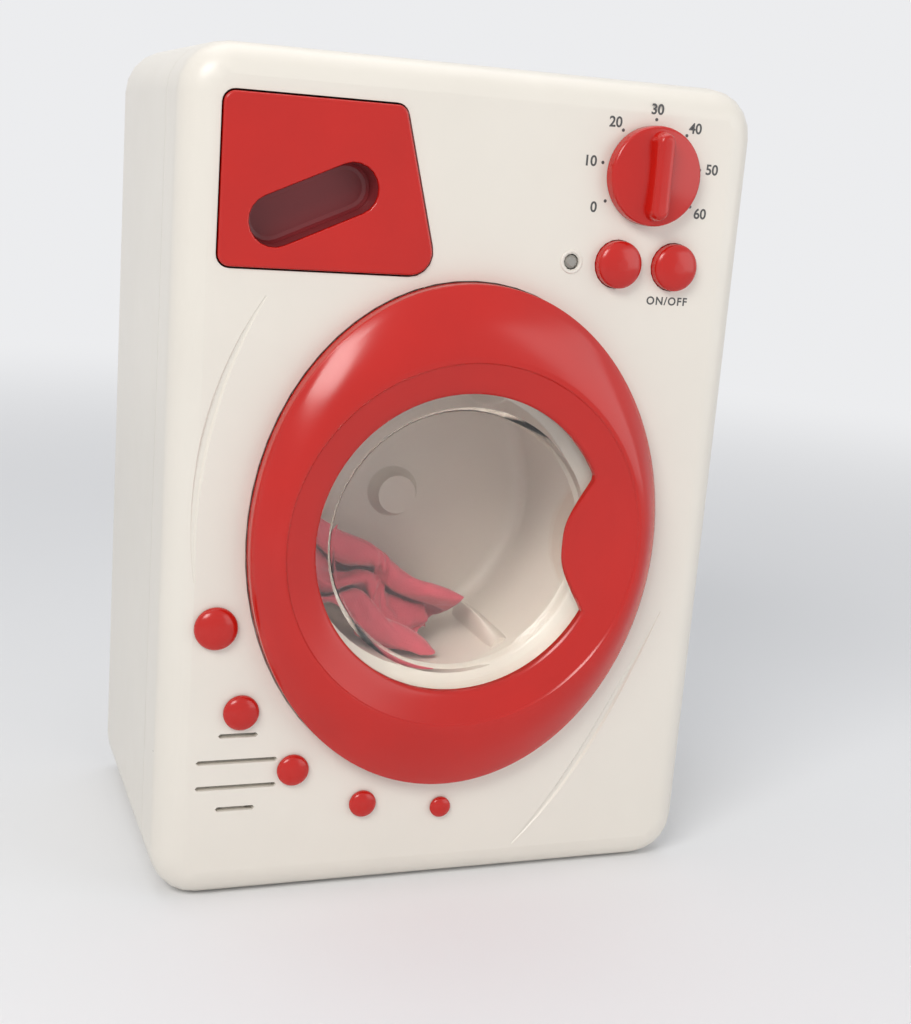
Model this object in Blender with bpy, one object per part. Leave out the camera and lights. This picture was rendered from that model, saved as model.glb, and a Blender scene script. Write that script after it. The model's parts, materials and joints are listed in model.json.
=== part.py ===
"""Toy front-loading washing machine, built as its real pieces.

Sizes are in metres. The front panel's own plane is the drawing plane: x runs to the right,
y up from the base and z out of the panel towards whoever plays with it. An empty called
front_plane carries that plane into the world, where the front faces -Y and +Z is up.
"""
import math

import bmesh
import bpy
from mathutils import Matrix, Vector

mm = 0.001

# Cabinet: how far it reaches past the door, and its shells
side_margin = 21.5 * mm
base_margin = 32 * mm
corner_radius = 13 * mm
front_edge_roll = 8 * mm
rear_edge_roll = 4 * mm
wall = 2.2 * mm
front_shell_depth = 22 * mm
lip_length = 2 * mm
lip_thickness = 1.4 * mm
lip_root = 3 * mm
corner_steps = 5
roll_steps = 4

# Clearances
rest_gap = 0.3 * mm
running_gap = 0.1 * mm
sliding_gap = 0.4 * mm
overrun = 1 * mm

# Door: an oval ring round a round window. The window's radius drives the door and the cabinet
window_radius = 42 * mm
crest_width = 9 * mm
ring_side_width = 8 * mm
ring_end_width = 20 * mm
door_stand = 11 * mm
door_rim_height = 4.8 * mm
door_edge_round = 0.8 * mm
door_skin = 1.8 * mm
door_segments = 64
pane_segments = 48
window_edge_stand = 7.5 * mm
tongue_reach = 12.2 * mm
tongue_drop = 1.6 * mm
tongue_middle_angle = math.radians(-0.5)
tongue_half_angle = math.radians(27.5)
tongue_fullness = 2.6
slope_shares = (0.12, 0.3, 0.55, 0.8, 1.0)

# Clear pane behind the window
pane_thickness = 1.6 * mm
pane_stand = 5 * mm
pane_flange_width = 6.4 * mm
pane_step_inset = 5 * mm
pane_step_width = 1.3 * mm
pane_step_depth = 3 * mm
pane_screw_inset = 2 * mm
pane_screw_angles = tuple(math.radians(a) for a in (45, 135, 225, 315))
pane_boss_radius = 1.9 * mm
pane_screw_shank = 0.8 * mm
pane_screw_head = 1.7 * mm
pane_screw_head_height = 1.2 * mm
pane_screw_length = 4.2 * mm

# Door hinge, latch and the seat behind the door
seat_clearance = 0.4 * mm
seat_depth = 3 * mm
seat_cone_width = 8 * mm
mouth_inset = 1 * mm
mouth_depth = 9.5 * mm
mouth_lip = 2 * mm
hinge_inset = 5 * mm
hinge_stand = 3.4 * mm
hinge_ear_radius = 1.9 * mm
hinge_ear_width = 3.5 * mm
hinge_ear_offset = 9 * mm
hinge_arm_share = 0.3
hinge_neck_offset = 4.2 * mm
hinge_neck_thickness = 1.7 * mm
hinge_pin_radius = 0.9 * mm
latch_inset = 5.5 * mm
latch_thickness = 2 * mm
latch_width = 10 * mm
latch_reach = 3 * mm
latch_clearance = 0.8 * mm

# Drum and its lifters
drum_gap = 0.8 * mm
drum_overlap = 4.8 * mm
drum_wall = 1.8 * mm
drum_depth = 49 * mm
drum_lip_inset = 3.2 * mm
drum_lip_thickness = 1.6 * mm
drum_flange_width = 1.4 * mm
drum_hub_radius = 6 * mm
drum_hub_length = 4 * mm
drum_boss_radius = 8 * mm
drum_boss_height = 5 * mm
drum_segments = 40
lifter_count = 3
lifter_height = 7 * mm
lifter_base = 7 * mm
lifter_crown = 2.4 * mm
lifter_margin = 5 * mm
shaft_radius = 2 * mm
shaft_blind_depth = 6 * mm

# Gear train behind the drum
gear_width = 5 * mm
gear_gap = 0.5 * mm
drum_gear_module = 1.2 * mm
drum_gear_teeth = 40
idler_small_teeth = 10
motor_gear_module = 0.9 * mm
idler_big_teeth = 32
pinion_teeth = 10
mesh_backlash = 0.15 * mm
idler_big_width = 2.6 * mm
idler_angle = math.radians(50)
pinion_angle = math.radians(90)
idler_pin_radius = 1.5 * mm
pinion_hub_radius = 2.6 * mm
motor_shaft_radius = 1 * mm
gear_rim = 3.5 * mm
gear_web_depth = 1.2 * mm
gear_hub_radius = 6.5 * mm

# Gear plate on posts from the back wall
plate_thickness = 2.5 * mm
plate_below = 19 * mm
plate_corner = 5 * mm
plate_post_inset = 5 * mm
plate_post_radius = 3.5 * mm
plate_post_room = 0.8 * mm
bush_radius = 4.5 * mm
bush_flange_radius = 6 * mm
bush_flange_thickness = 1 * mm
bush_tail = 1.2 * mm
clip_radius = 4 * mm
clip_thickness = 0.8 * mm
motor_radius = 10 * mm
motor_half_flat = 7.7 * mm
motor_length = 18.4 * mm
motor_nose_radius = 3 * mm
motor_room = 1.4 * mm

# Small self-tapping screws
screw_shank_radius = 1.4 * mm
screw_head_radius = 2.7 * mm
screw_head_height = 2 * mm
screw_bite = 8 * mm
screw_segments = 8

# Posts that join the two cabinet shells
post_radius = 3.2 * mm
tube_radius = 4.4 * mm
tube_bore = 3.2 * mm
tube_floor = 3 * mm
joint_depth = 30 * mm
post_side_inset = 7.5 * mm
post_top_inset = 7.7 * mm
post_bottom_inset = 10 * mm
post_top_side_inset = 32.5 * mm
post_bottom_side_inset = 9.5 * mm
post_middle_rise = 7 * mm
boss_segments = 12

# Soap drawer
drawer_side_inset = 10.5 * mm
drawer_top_width = 47 * mm
drawer_bottom_width = 58.5 * mm
drawer_height = 43 * mm
drawer_door_gap = 1 * mm
drawer_top_inset = 12 * mm
drawer_small_corner = 3 * mm
drawer_large_corner = 6 * mm
drawer_front_thickness = 3 * mm
drawer_stand = 1 * mm
drawer_edge_round = 0.7 * mm
drawer_gap = 0.5 * mm
tray_side_inset = 4 * mm
tray_right_inset = 3.5 * mm
tray_floor_inset = 4 * mm
tray_headroom = 12 * mm
tray_wall = 1.6 * mm
tray_corner = 3 * mm
tray_length = 31 * mm
guide_headroom = 7 * mm
guide_wall = 1.6 * mm
guide_flange = 2 * mm
guide_flange_thickness = 1.6 * mm
guide_spare = 4 * mm
slot_left = (14.1 * mm, 12 * mm)
slot_right = (34.3 * mm, 21.2 * mm)
slot_radius = 6.7 * mm
slot_depth = 7 * mm
slot_wall = 1 * mm

# Programme knob
knob_side_inset = 32.2 * mm
knob_top_inset = 24.9 * mm
knob_radius = 13.4 * mm
knob_height = 5 * mm
knob_crown = 1.2 * mm
knob_segments = 36
knob_edge_round = 1 * mm
knob_grip_inset = 1.4 * mm
knob_grip_half_width = 3.1 * mm
knob_grip_height = 8.6 * mm
knob_grip_taper = 0.9 * mm
knob_shaft_radius = 3 * mm
knob_washer_radius = 6 * mm
knob_washer_thickness = 1 * mm

# Push buttons and indicator light, in a row under the knob
button_side_inset = 22.7 * mm
button_spacing = 4.1 * mm
button_knob_gap = 4.4 * mm
button_radius = 6.5 * mm
button_stand = 2 * mm
button_dome = 2.2 * mm
button_gap = 0.25 * mm
button_flange_radius = 8 * mm
button_flange_thickness = 1.4 * mm
button_stem_radius = 2.4 * mm
button_stem_length = 3.5 * mm
button_travel = 1.5 * mm
lamp_button_gap = 7.2 * mm
lamp_radius = 1.9 * mm
lamp_stand = 0.5 * mm

# Circuit board with its two switches
switch_side = 6 * mm
switch_height = 2.6 * mm
plunger_radius = 1.6 * mm
plunger_length = 0.8 * mm
board_thickness = 1.6 * mm
board_left_reach = 8 * mm
board_right_reach = 12.7 * mm
board_above = 11.1 * mm
board_below = 12.9 * mm
board_corner = 1.5 * mm
board_post_radius = 2.8 * mm
board_post_inset = 3.5 * mm
board_screw_shank = 1.1 * mm
board_screw_head = 2.2 * mm
board_screw_bite = 5 * mm

# Speaker behind its slots
speaker_angle = math.radians(224.1)
speaker_margin = 22.9 * mm
speaker_radius = 12 * mm
speaker_rim = 1 * mm
speaker_basket = 4.5 * mm
speaker_magnet_radius = 7.5 * mm
speaker_magnet = 4 * mm
speaker_cone_radius = 10.5 * mm
speaker_cone_depth = 2.2 * mm
speaker_rib_width = 1.3 * mm
speaker_rib_height = 3.5 * mm
speaker_slots = ((4.9 * mm, 10.8 * mm), (10.7 * mm, 3.3 * mm), (10.7 * mm, -4.2 * mm), (4.9 * mm, -10.6 * mm))
speaker_slot_half = 0.65 * mm

# Red studs in an arc under the door: angle round the door, margin beyond it and radius of each
stud_table = (
    (math.radians(196.9), 10.3 * mm, 5.9 * mm),
    (math.radians(215.0), 12.3 * mm, 4.95 * mm),
    (math.radians(232.4), 11.6 * mm, 4.5 * mm),
    (math.radians(251.3), 10.3 * mm, 3.9 * mm),
    (math.radians(271.1), 8.8 * mm, 3.05 * mm),
)
stud_dome_share = 0.42
stud_skirt = 0.5 * mm
stud_stem_radius = 1.5 * mm
stud_stem_length = 3.4 * mm

# Sweeping grooves moulded into the panel either side of the door, as shares of the door's half sizes
groove_half_width = 1.3 * mm
groove_depth = 0.7 * mm
groove_steps = 14
groove_right_shares = ((1.119, -0.324), (0.915, -0.704), (0.729, -1.056), (0.424, -1.317))
groove_left_shares = ((-0.966, 0.915), (-1.203, 0.592), (-1.28, 0.183), (-1.229, -0.155))

# Battery box in the back wall
cell_radius = 7 * mm
cell_length = 49 * mm
cell_nub_radius = 2.7 * mm
cell_nub = 1 * mm
cell_gap = 0.6 * mm
cell_count = 3
cell_end_room = 3 * mm
cell_side_room = 1.8 * mm
pocket_wall = 1.8 * mm
pocket_base = 14 * mm
cover_ledge = 3.5 * mm
cover_thickness = 2 * mm
cover_corner = 3 * mm
cover_screw_room = 7 * mm
cover_screw_inset = 3.8 * mm
cover_boss_length = 7 * mm
contact_plate = 0.5 * mm
contact_half_width = 5 * mm
contact_spring_radius = 3.6 * mm
contact_spring_tip = 2.2 * mm

# Laundry, a crumpled cloth that lies in the drum
laundry_middle_angle = math.radians(-118)
laundry_half_angle = math.radians(44)
laundry_thickness = 15 * mm
laundry_front_room = 3 * mm
laundry_back_room = 9 * mm
laundry_fold_share = 0.26
laundry_edge = 1.4 * mm
laundry_folds = 5
laundry_across = 26
laundry_along = 11

# Worked out from the sizes above
crest_radius = window_radius + crest_width
door_half_width = crest_radius + ring_side_width
door_half_height = crest_radius + ring_end_width
door_centre_height = base_margin + door_half_height
door_centre = (0.0, door_centre_height)
body_width = 2 * (door_half_width + side_margin)
drawer_bottom = door_centre_height + door_half_height + drawer_door_gap
drawer_top = drawer_bottom + drawer_height
body_height = drawer_top + drawer_top_inset
drawer_left = drawer_side_inset - body_width / 2
tray_wall_height = drawer_height - tray_floor_inset - tray_headroom
knob_x = body_width / 2 - knob_side_inset
knob_y = body_height - knob_top_inset
knob_grip_half_length = knob_radius - knob_grip_inset
pane_flange_radius = window_radius + pane_flange_width
pane_step_radius = window_radius - pane_step_inset
seat_cone_radius = window_radius + seat_cone_width
mouth_radius = window_radius - mouth_inset
drum_radius = mouth_radius + drum_overlap
drum_lip_radius = drum_radius - drum_lip_inset
drum_flange_radius = drum_radius + drum_flange_width
hinge_x = hinge_inset - door_half_width
panel_back = -wall
seat_floor = -seat_depth
mouth_end = -(mouth_depth + mouth_lip)
drum_front = mouth_end - drum_gap
drum_back = drum_front - drum_depth
drum_inside_back = drum_back + drum_wall
hub_back = drum_back - drum_hub_length
gear_front = hub_back - gear_gap
gear_back = gear_front - gear_width
idler_big_front = gear_back - rest_gap
idler_big_back = idler_big_front - idler_big_width
plate_front = idler_big_back - gear_gap - bush_flange_thickness
plate_back = plate_front - plate_thickness
back_inside = plate_back - rest_gap - motor_length - motor_room
back_plane = back_inside - wall
gear_distance = (drum_gear_teeth + idler_small_teeth) * drum_gear_module / 2 + mesh_backlash
motor_distance = (idler_big_teeth + pinion_teeth) * motor_gear_module / 2 + mesh_backlash
idler_x = gear_distance * math.cos(idler_angle)
idler_y = door_centre_height + gear_distance * math.sin(idler_angle)
pinion_x = idler_x + motor_distance * math.cos(pinion_angle)
pinion_y = idler_y + motor_distance * math.sin(pinion_angle)
cell_pitch = 2 * cell_radius + cell_gap
proud = max(door_stand, rest_gap + knob_grip_height)
front_plane_y = (proud + back_plane) / 2

cream = ("cream_plastic", (0.80, 0.76, 0.69), 0.32, 0.0)
red = ("red_plastic", (0.62, 0.012, 0.008), 0.2, 0.0)
clear = ("clear_plastic", (0.86, 0.84, 0.80), 0.08, 0.0)
grey = ("warm_grey_plastic", (0.52, 0.45, 0.39), 0.4, 0.0)
white = ("white_nylon", (0.78, 0.78, 0.76), 0.45, 0.0)
dark = ("dark_plastic", (0.04, 0.04, 0.045), 0.5, 0.0)
steel = ("steel", (0.62, 0.62, 0.63), 0.3, 1.0)
brass = ("brass", (0.72, 0.53, 0.24), 0.35, 1.0)
board_green = ("board_green", (0.03, 0.2, 0.08), 0.5, 0.0)
cell_black = ("cell_wrap", (0.05, 0.05, 0.06), 0.35, 0.0)
lamp_white = ("lamp_lens", (0.55, 0.53, 0.5), 0.15, 0.0)
cloth_red = ("laundry_cloth", (0.55, 0.05, 0.09), 0.9, 0.0)


# Outlines, each a list of (x, y) points that runs anticlockwise
def circle(radius, segments, centre=(0.0, 0.0)):
    """Corners of a regular polygon on a circle."""
    points = []
    for i in range(segments):
        angle = 2 * math.pi * i / segments
        points.append((centre[0] + radius * math.cos(angle), centre[1] + radius * math.sin(angle)))
    return points


def ellipse(half_width, half_height, segments, centre):
    """Points of an oval, spread evenly by its parameter."""
    points = []
    for i in range(segments):
        angle = 2 * math.pi * i / segments
        points.append((centre[0] + half_width * math.cos(angle), centre[1] + half_height * math.sin(angle)))
    return points


def arc(centre, radius, start, end, steps):
    """Points along an arc, both ends included."""
    points = []
    for i in range(steps + 1):
        angle = start + (end - start) * i / steps
        points.append((centre[0] + radius * math.cos(angle), centre[1] + radius * math.sin(angle)))
    return points


def rounded_box(left, right, bottom, top, radius, steps=corner_steps):
    """A rectangle with round corners."""
    quarter = math.pi / 2
    centres = (
        (right - radius, bottom + radius, -quarter),
        (right - radius, top - radius, 0.0),
        (left + radius, top - radius, quarter),
        (left + radius, bottom + radius, 2 * quarter),
    )
    points = []
    for x, y, start in centres:
        points += arc((x, y), radius, start, start + quarter, steps)
    return points


def rounded_polygon(corners, radii, steps=corner_steps):
    """A convex polygon, given anticlockwise, with each corner rounded by its radius."""
    points = []
    count = len(corners)
    for i in range(count):
        corner = Vector(corners[i])
        before = (Vector(corners[i - 1]) - corner).normalized()
        after = (Vector(corners[(i + 1) % count]) - corner).normalized()
        half = before.angle(after) / 2
        bisector = (before + after).normalized()
        centre = corner + bisector * radii[i] / math.sin(half)
        start = math.atan2(*reversed(corner + before * radii[i] / math.tan(half) - centre))
        sweep = math.pi - 2 * half
        points += arc(centre, radii[i], start, start + sweep, steps)
    return points


def offset_polygon(corners, distance):
    """The same convex polygon with each side moved outwards by a distance."""
    moved = []
    count = len(corners)
    for i in range(count):
        corner = Vector(corners[i])
        before = (corner - Vector(corners[i - 1])).normalized()
        after = (Vector(corners[(i + 1) % count]) - corner).normalized()
        normal_before = Vector((before.y, -before.x))
        normal_after = Vector((after.y, -after.x))
        bisector = normal_before + normal_after
        moved.append(tuple(corner + bisector * distance * 2 / bisector.length_squared))
    return moved


def stadium(start, end, radius, steps=corner_steps):
    """A slot with round ends between two centres."""
    along = math.atan2(end[1] - start[1], end[0] - start[0])
    quarter = math.pi / 2
    return arc(end, radius, along - quarter, along + quarter, steps) + arc(
        start, radius, along + quarter, along + 3 * quarter, steps)


def cabinet_outline(inset):
    """The cabinet's outline, drawn in by an inset."""
    return rounded_box(
        inset - body_width / 2, body_width / 2 - inset, inset, body_height - inset, corner_radius - inset)


def gear_outline(teeth, module, direction, gap_first):
    """Spur gear outline with a tooth, or a gap if gap_first, pointing along a direction."""
    pitch_radius = teeth * module / 2
    tip_radius = pitch_radius + module * gear_tip_share
    root_radius = pitch_radius - module * gear_root_share
    step = 2 * math.pi / teeth
    start = direction + (step / 2 if gap_first else 0.0)
    points = []
    for i in range(teeth):
        middle = start + i * step
        for radius, share in (
            (root_radius, -gear_root_width_share),
            (tip_radius, -gear_tip_width_share),
            (tip_radius, gear_tip_width_share),
            (root_radius, gear_root_width_share),
        ):
            angle = middle + share * step
            points.append((radius * math.cos(angle), radius * math.sin(angle)))
    return points


# Tooth shape, as shares of the module and of the angle from tooth to tooth
gear_tip_share = 0.9
gear_root_share = 1.2
gear_tip_width_share = 0.1
gear_root_width_share = 0.29


# Solids
def ring_at(outline, height):
    """An outline lifted to a height."""
    return [Vector((x, y, height)) for x, y in outline]


def loft(rings, tube=False):
    """A closed skin through rings of equal count. A tube's last ring meets its first."""
    bm = bmesh.new()
    rows = [[bm.verts.new(point) for point in ring] for ring in rings]
    pairs = list(zip(rows, rows[1:]))
    if tube:
        pairs.append((rows[-1], rows[0]))
    for lower, upper in pairs:
        count = len(lower)
        for i in range(count):
            j = (i + 1) % count
            bm.faces.new((lower[i], lower[j], upper[j], upper[i]))
    if not tube:
        bm.faces.new(rows[0])
        bm.faces.new(rows[-1])
    bmesh.ops.recalc_face_normals(bm, faces=bm.faces)
    return bm


def prism(outline, low, high):
    """An outline extruded between two heights."""
    return loft([ring_at(outline, low), ring_at(outline, high)])


def turned(profile, segments, centre=(0.0, 0.0), tube=False):
    """A profile of (radius, height) points turned about a centre."""
    return loft([ring_at(circle(radius, segments, centre), height) for radius, height in profile], tube)


def merged(shapes):
    """Several separate shapes as one mesh."""
    together = bmesh.new()
    for shape in shapes:
        mesh = bpy.data.meshes.new("shape")
        shape.to_mesh(mesh)
        shape.free()
        together.from_mesh(mesh)
        bpy.data.meshes.remove(mesh)
    return together


def combine(target, shapes, operation):
    """Cuts or joins separate shapes with a shape by an exact Boolean, and gives the result."""
    objects = []
    for shape in (target, merged(shapes)):
        mesh = bpy.data.meshes.new("shape")
        shape.to_mesh(mesh)
        shape.free()
        objects.append(bpy.data.objects.new("shape", mesh))
        bpy.context.scene.collection.objects.link(objects[-1])
    modifier = objects[0].modifiers.new("combine", "BOOLEAN")
    modifier.operation = operation
    modifier.solver = "EXACT"
    modifier.object = objects[1]
    graph = bpy.context.evaluated_depsgraph_get()
    result = bmesh.new()
    result.from_object(objects[0], graph)
    for item in objects:
        mesh = item.data
        bpy.data.objects.remove(item)
        bpy.data.meshes.remove(mesh)
    return result


def cut(target, shapes):
    """The target less the shapes."""
    return combine(target, shapes, "DIFFERENCE")


def join(target, shapes):
    """The target with the shapes grown onto it."""
    return combine(target, shapes, "UNION")


def sideways(shape, centre):
    """Turns a shape built along z so that it runs along y, with its origin at a centre."""
    bmesh.ops.transform(shape, matrix=Matrix.Translation(centre) @ Matrix.Rotation(math.pi / 2, 4, "X"),
                        verts=shape.verts)
    return shape


def screw(head_top, tip, shank, head, head_height, centre):
    """A pan-head screw whose head lies away from its tip."""
    way = 1 if head_top > tip else -1
    head_under = head_top - way * head_height
    profile = [(shank / 2, tip), (shank, tip + way * shank), (shank, head_under), (head, head_under),
               (head, head_top - way * head_height / 2), (head * screw_crown_share, head_top)]
    return turned(profile, screw_segments, centre)


screw_crown_share = 0.75


# Scene objects and materials
def material(finish):
    """One Principled material for each finish, made once."""
    name, colour, roughness, metallic = finish
    found = bpy.data.materials.get(name)
    if found:
        return found
    made = bpy.data.materials.new(name)
    made.use_nodes = True
    shader = made.node_tree.nodes["Principled BSDF"]
    shader.inputs["Base Color"].default_value = (*colour, 1.0)
    shader.inputs["Roughness"].default_value = roughness
    shader.inputs["Metallic"].default_value = metallic
    made.diffuse_color = (*colour, 1.0)
    return made


def place(name, shape, finish, parent, origin=(0.0, 0.0, 0.0)):
    """Makes a named object of a shape, with its origin at a point of the front plane."""
    point = Vector(origin)
    bmesh.ops.translate(shape, vec=-point, verts=shape.verts)
    mesh = bpy.data.meshes.new(name)
    shape.to_mesh(mesh)
    shape.free()
    mesh.shade_smooth()
    mesh.set_sharp_from_angle(angle=smooth_angle)
    mesh.materials.append(material(finish))
    item = bpy.data.objects.new(name, mesh)
    item.location = point
    item.parent = parent
    bpy.context.scene.collection.objects.link(item)
    return item


def place_each(name, shapes, finish, parent, origin=(0.0, 0.0, 0.0)):
    """Makes one numbered object for each of a row of like shapes."""
    for number, shape in enumerate(shapes, 1):
        place(f"{name}_{number}", shape, finish, parent, origin)


smooth_angle = math.radians(35)


# Places that several pieces share
def beyond_door(angle, margin):
    """A point on the door's oval grown by a margin."""
    return ((door_half_width + margin) * math.cos(angle),
            door_centre_height + (door_half_height + margin) * math.sin(angle))


def post_places():
    """Centres of the six screw posts that hold the cabinet shells together."""
    places = []
    for way in (-1, 1):
        side = way * body_width / 2
        places.append((side - way * post_top_side_inset, body_height - post_top_inset))
        places.append((side - way * post_side_inset, door_centre_height + post_middle_rise))
        places.append((side - way * post_bottom_side_inset, post_bottom_inset))
    return places


def button_places():
    """Centre of each button by its name."""
    right = body_width / 2 - button_side_inset
    left = right - 2 * button_radius - button_spacing
    height = knob_y - knob_radius - button_knob_gap - button_radius
    return {"left_button": (left, height), "right_button": (right, height)}


def lamp_place():
    """Centre of the indicator light, to the left of the buttons."""
    x, y = button_places()["left_button"]
    return x - button_radius - lamp_button_gap, y


def board_box():
    """Left, right, bottom and top of the circuit board, round the lamp and the buttons."""
    x, y = lamp_place()
    right = button_places()["right_button"][0] + board_right_reach
    return x - board_left_reach, right, y - board_below, y + board_above


def board_post_places():
    """Centres of the board's two screw posts, in opposite corners."""
    left, right, bottom, top = board_box()
    return ((left + board_post_inset, top - board_post_inset),
            (right - board_post_inset, bottom + board_post_inset))


def stud_places():
    """Centre and radius of each red stud."""
    return [(*beyond_door(angle, margin), radius) for angle, margin, radius in stud_table]


def drawer_corners():
    """Corners of the drawer's front, anticlockwise."""
    return ((drawer_left, drawer_bottom), (drawer_left + drawer_bottom_width, drawer_bottom),
            (drawer_left + drawer_top_width, drawer_top), (drawer_left, drawer_top))


def drawer_outline(offset):
    """The drawer's front outline, grown or drawn in by an offset."""
    radii = (drawer_small_corner + offset, drawer_large_corner + offset,
             drawer_small_corner + offset, drawer_small_corner + offset)
    return rounded_polygon(offset_polygon(drawer_corners(), offset), radii)


def bezier(points, steps):
    """Points along a cubic curve with four control points."""
    a, b, c, d = (Vector(point) for point in points)
    result = []
    for i in range(steps + 1):
        t = i / steps
        s = 1 - t
        result.append(a * s ** 3 + b * (3 * s * s * t) + c * (3 * s * t * t) + d * t ** 3)
    return result


def groove(shares):
    """A cutter that runs along a curve beside the door and fades out at both ends."""
    points = [(x * door_half_width, door_centre_height + y * door_half_height) for x, y in shares]
    line = bezier(points, groove_steps)
    rings = []
    for i, point in enumerate(line):
        ahead = line[min(i + 1, groove_steps)] - line[max(i - 1, 0)]
        side = Vector((-ahead.y, ahead.x)).normalized()
        swell = math.sin(math.pi * (i + 1) / (groove_steps + 2))
        half = groove_half_width * swell
        depth = groove_depth * swell
        ring = []
        for across, height in ((-half, overrun), (-half, 0.0), (-half / 2, -depth), (half / 2, -depth),
                               (half, 0.0), (half, overrun)):
            spot = point + side * across
            ring.append(Vector((spot.x, spot.y, height)))
        rings.append(ring)
    return loft(rings)


def roll_rings(radius, inset, front, way):
    """Rings of an edge that rolls from a side wall, inset by an amount, over to a flat face."""
    rings = []
    for i in range(roll_steps + 1):
        angle = math.pi / 2 * i / roll_steps
        rings.append(ring_at(cabinet_outline(inset + radius * (1 - math.cos(angle))),
                             front - way * radius * (1 - math.sin(angle))))
    return rings


def door_seat_block():
    """The dished seat behind the door, before it is hollowed out."""
    grow = seat_clearance + wall
    oval = ellipse(door_half_width + grow, door_half_height + grow, door_segments, door_centre)
    return loft([
        ring_at(oval, -wall / 2),
        ring_at(oval, seat_floor - wall),
        ring_at(circle(seat_cone_radius + wall, door_segments, door_centre), seat_floor - wall),
        ring_at(circle(mouth_radius + wall, door_segments, door_centre), -mouth_depth),
        ring_at(circle(mouth_radius + wall, door_segments, door_centre), mouth_end),
    ])


def door_seat_hollow():
    """The hollow of the seat and of the round mouth in it."""
    oval = ellipse(door_half_width + seat_clearance, door_half_height + seat_clearance, door_segments,
                   door_centre)
    return loft([
        ring_at(oval, overrun),
        ring_at(oval, seat_floor),
        ring_at(circle(seat_cone_radius, door_segments, door_centre), seat_floor),
        ring_at(circle(mouth_radius, door_segments, door_centre), -mouth_depth),
        ring_at(circle(mouth_radius, door_segments, door_centre), mouth_end - overrun),
    ])


def hinge_ear(way):
    """An ear that reaches from the seat's floor round to the hinge pin, above or below the knuckle."""
    outline = [(hinge_x + hinge_neck_offset + hinge_neck_thickness, seat_floor - wall / 2),
               (hinge_x + hinge_neck_offset + hinge_neck_thickness, hinge_stand + hinge_ear_radius)]
    outline += arc((hinge_x, hinge_stand), hinge_ear_radius, math.pi / 2, 3 * math.pi / 2, corner_steps + 1)
    outline += [(hinge_x + hinge_neck_offset, hinge_stand - hinge_ear_radius * hinge_arm_share),
                (hinge_x + hinge_neck_offset, seat_floor - wall / 2)]
    near = door_centre_height + way * hinge_ear_offset
    far = near + way * hinge_ear_width
    return loft([[Vector((x, y, z)) for x, z in outline] for y in (near, far)])


def make_front_panel(parent):
    """The front shell, with the door's seat, every opening, and the posts and ribs behind it."""
    rings = list(reversed(roll_rings(front_edge_roll, 0.0, 0.0, 1)))
    rings += [ring_at(cabinet_outline(0.0), -front_shell_depth),
              ring_at(cabinet_outline(wall), -front_shell_depth)]
    rings += roll_rings(front_edge_roll - wall, wall, panel_back, 1)
    panel = join(loft(rings), [door_seat_block()])
    bite = panel_back + wall / 2
    supports = [turned([(post_radius, -joint_depth), (post_radius, bite)], boss_segments, spot)
                for spot in post_places()]
    supports += [turned([(board_post_radius, board_front() + rest_gap), (board_post_radius, bite)],
                        boss_segments, spot) for spot in board_post_places()]
    rib_inner = speaker_radius + rest_gap
    rib_outer = rib_inner + speaker_rib_width
    supports.append(turned([(rib_outer, bite), (rib_inner, bite), (rib_inner, bite - speaker_rib_height),
                            (rib_outer, bite - speaker_rib_height)], drum_segments // 2,
                           beyond_door(speaker_angle, speaker_margin), tube=True))
    panel = join(panel, supports)
    panel = cut(panel, [door_seat_hollow()])
    panel = join(panel, [hinge_ear(-1), hinge_ear(1)])
    holes = [prism(drawer_outline(drawer_gap), panel_back - overrun, overrun)]
    for x, y in button_places().values():
        holes.append(turned([(button_radius + button_gap, panel_back - overrun),
                             (button_radius + button_gap, overrun)], drum_segments // 2, (x, y)))
    holes.append(turned([(knob_shaft_radius + running_gap, panel_back - overrun),
                         (knob_shaft_radius + running_gap, overrun)], drum_segments // 2, (knob_x, knob_y)))
    holes.append(turned([(lamp_radius + rest_gap, panel_back - overrun), (lamp_radius + rest_gap, overrun)],
                        boss_segments, lamp_place()))
    for x, y, radius in stud_places():
        holes.append(turned([(stud_stem_radius + running_gap, panel_back - overrun),
                             (stud_stem_radius + running_gap, overrun)], boss_segments, (x, y)))
    speaker_x, speaker_y = beyond_door(speaker_angle, speaker_margin)
    for half_length, rise in speaker_slots:
        y = speaker_y + rise
        holes.append(prism(stadium((speaker_x - half_length, y), (speaker_x + half_length, y),
                                   speaker_slot_half, 2), panel_back - overrun, overrun))
    pilot = screw_shank_radius + running_gap
    for spot in post_places():
        holes.append(turned([(pilot, -joint_depth - overrun), (pilot, -joint_depth + screw_bite + overrun)],
                            screw_segments, spot))
    pilot = board_screw_shank + running_gap
    for spot in board_post_places():
        holes.append(turned([(pilot, board_front()), (pilot, board_front() + board_screw_bite + overrun)],
                            screw_segments, spot))
    latch_x = door_half_width - latch_inset
    reach = latch_thickness / 2 + latch_clearance
    holes.append(prism(rounded_box(latch_x - reach, latch_x + reach,
                                   door_centre_height - latch_width / 2 - latch_clearance,
                                   door_centre_height + latch_width / 2 + latch_clearance,
                                   latch_clearance, 2), seat_floor - wall - overrun, seat_floor + overrun))
    reach = hinge_ear_offset + hinge_ear_width + overrun
    pin_hole = turned([(hinge_pin_radius + running_gap, -reach), (hinge_pin_radius + running_gap, reach)],
                      screw_segments + 2)
    holes.append(sideways(pin_hole, (hinge_x, door_centre_height, hinge_stand)))
    panel = cut(panel, holes)
    panel = cut(panel, [groove(groove_left_shares), groove(groove_right_shares)])
    place("front_panel", panel, cream, parent)


def pocket_box():
    """Left, right, bottom and top of the battery pocket."""
    half = (cell_count - 1) * cell_pitch / 2 + cell_radius + cell_side_room
    return -half, half, pocket_base, pocket_base + cell_length + cell_nub + 2 * cell_end_room


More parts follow.
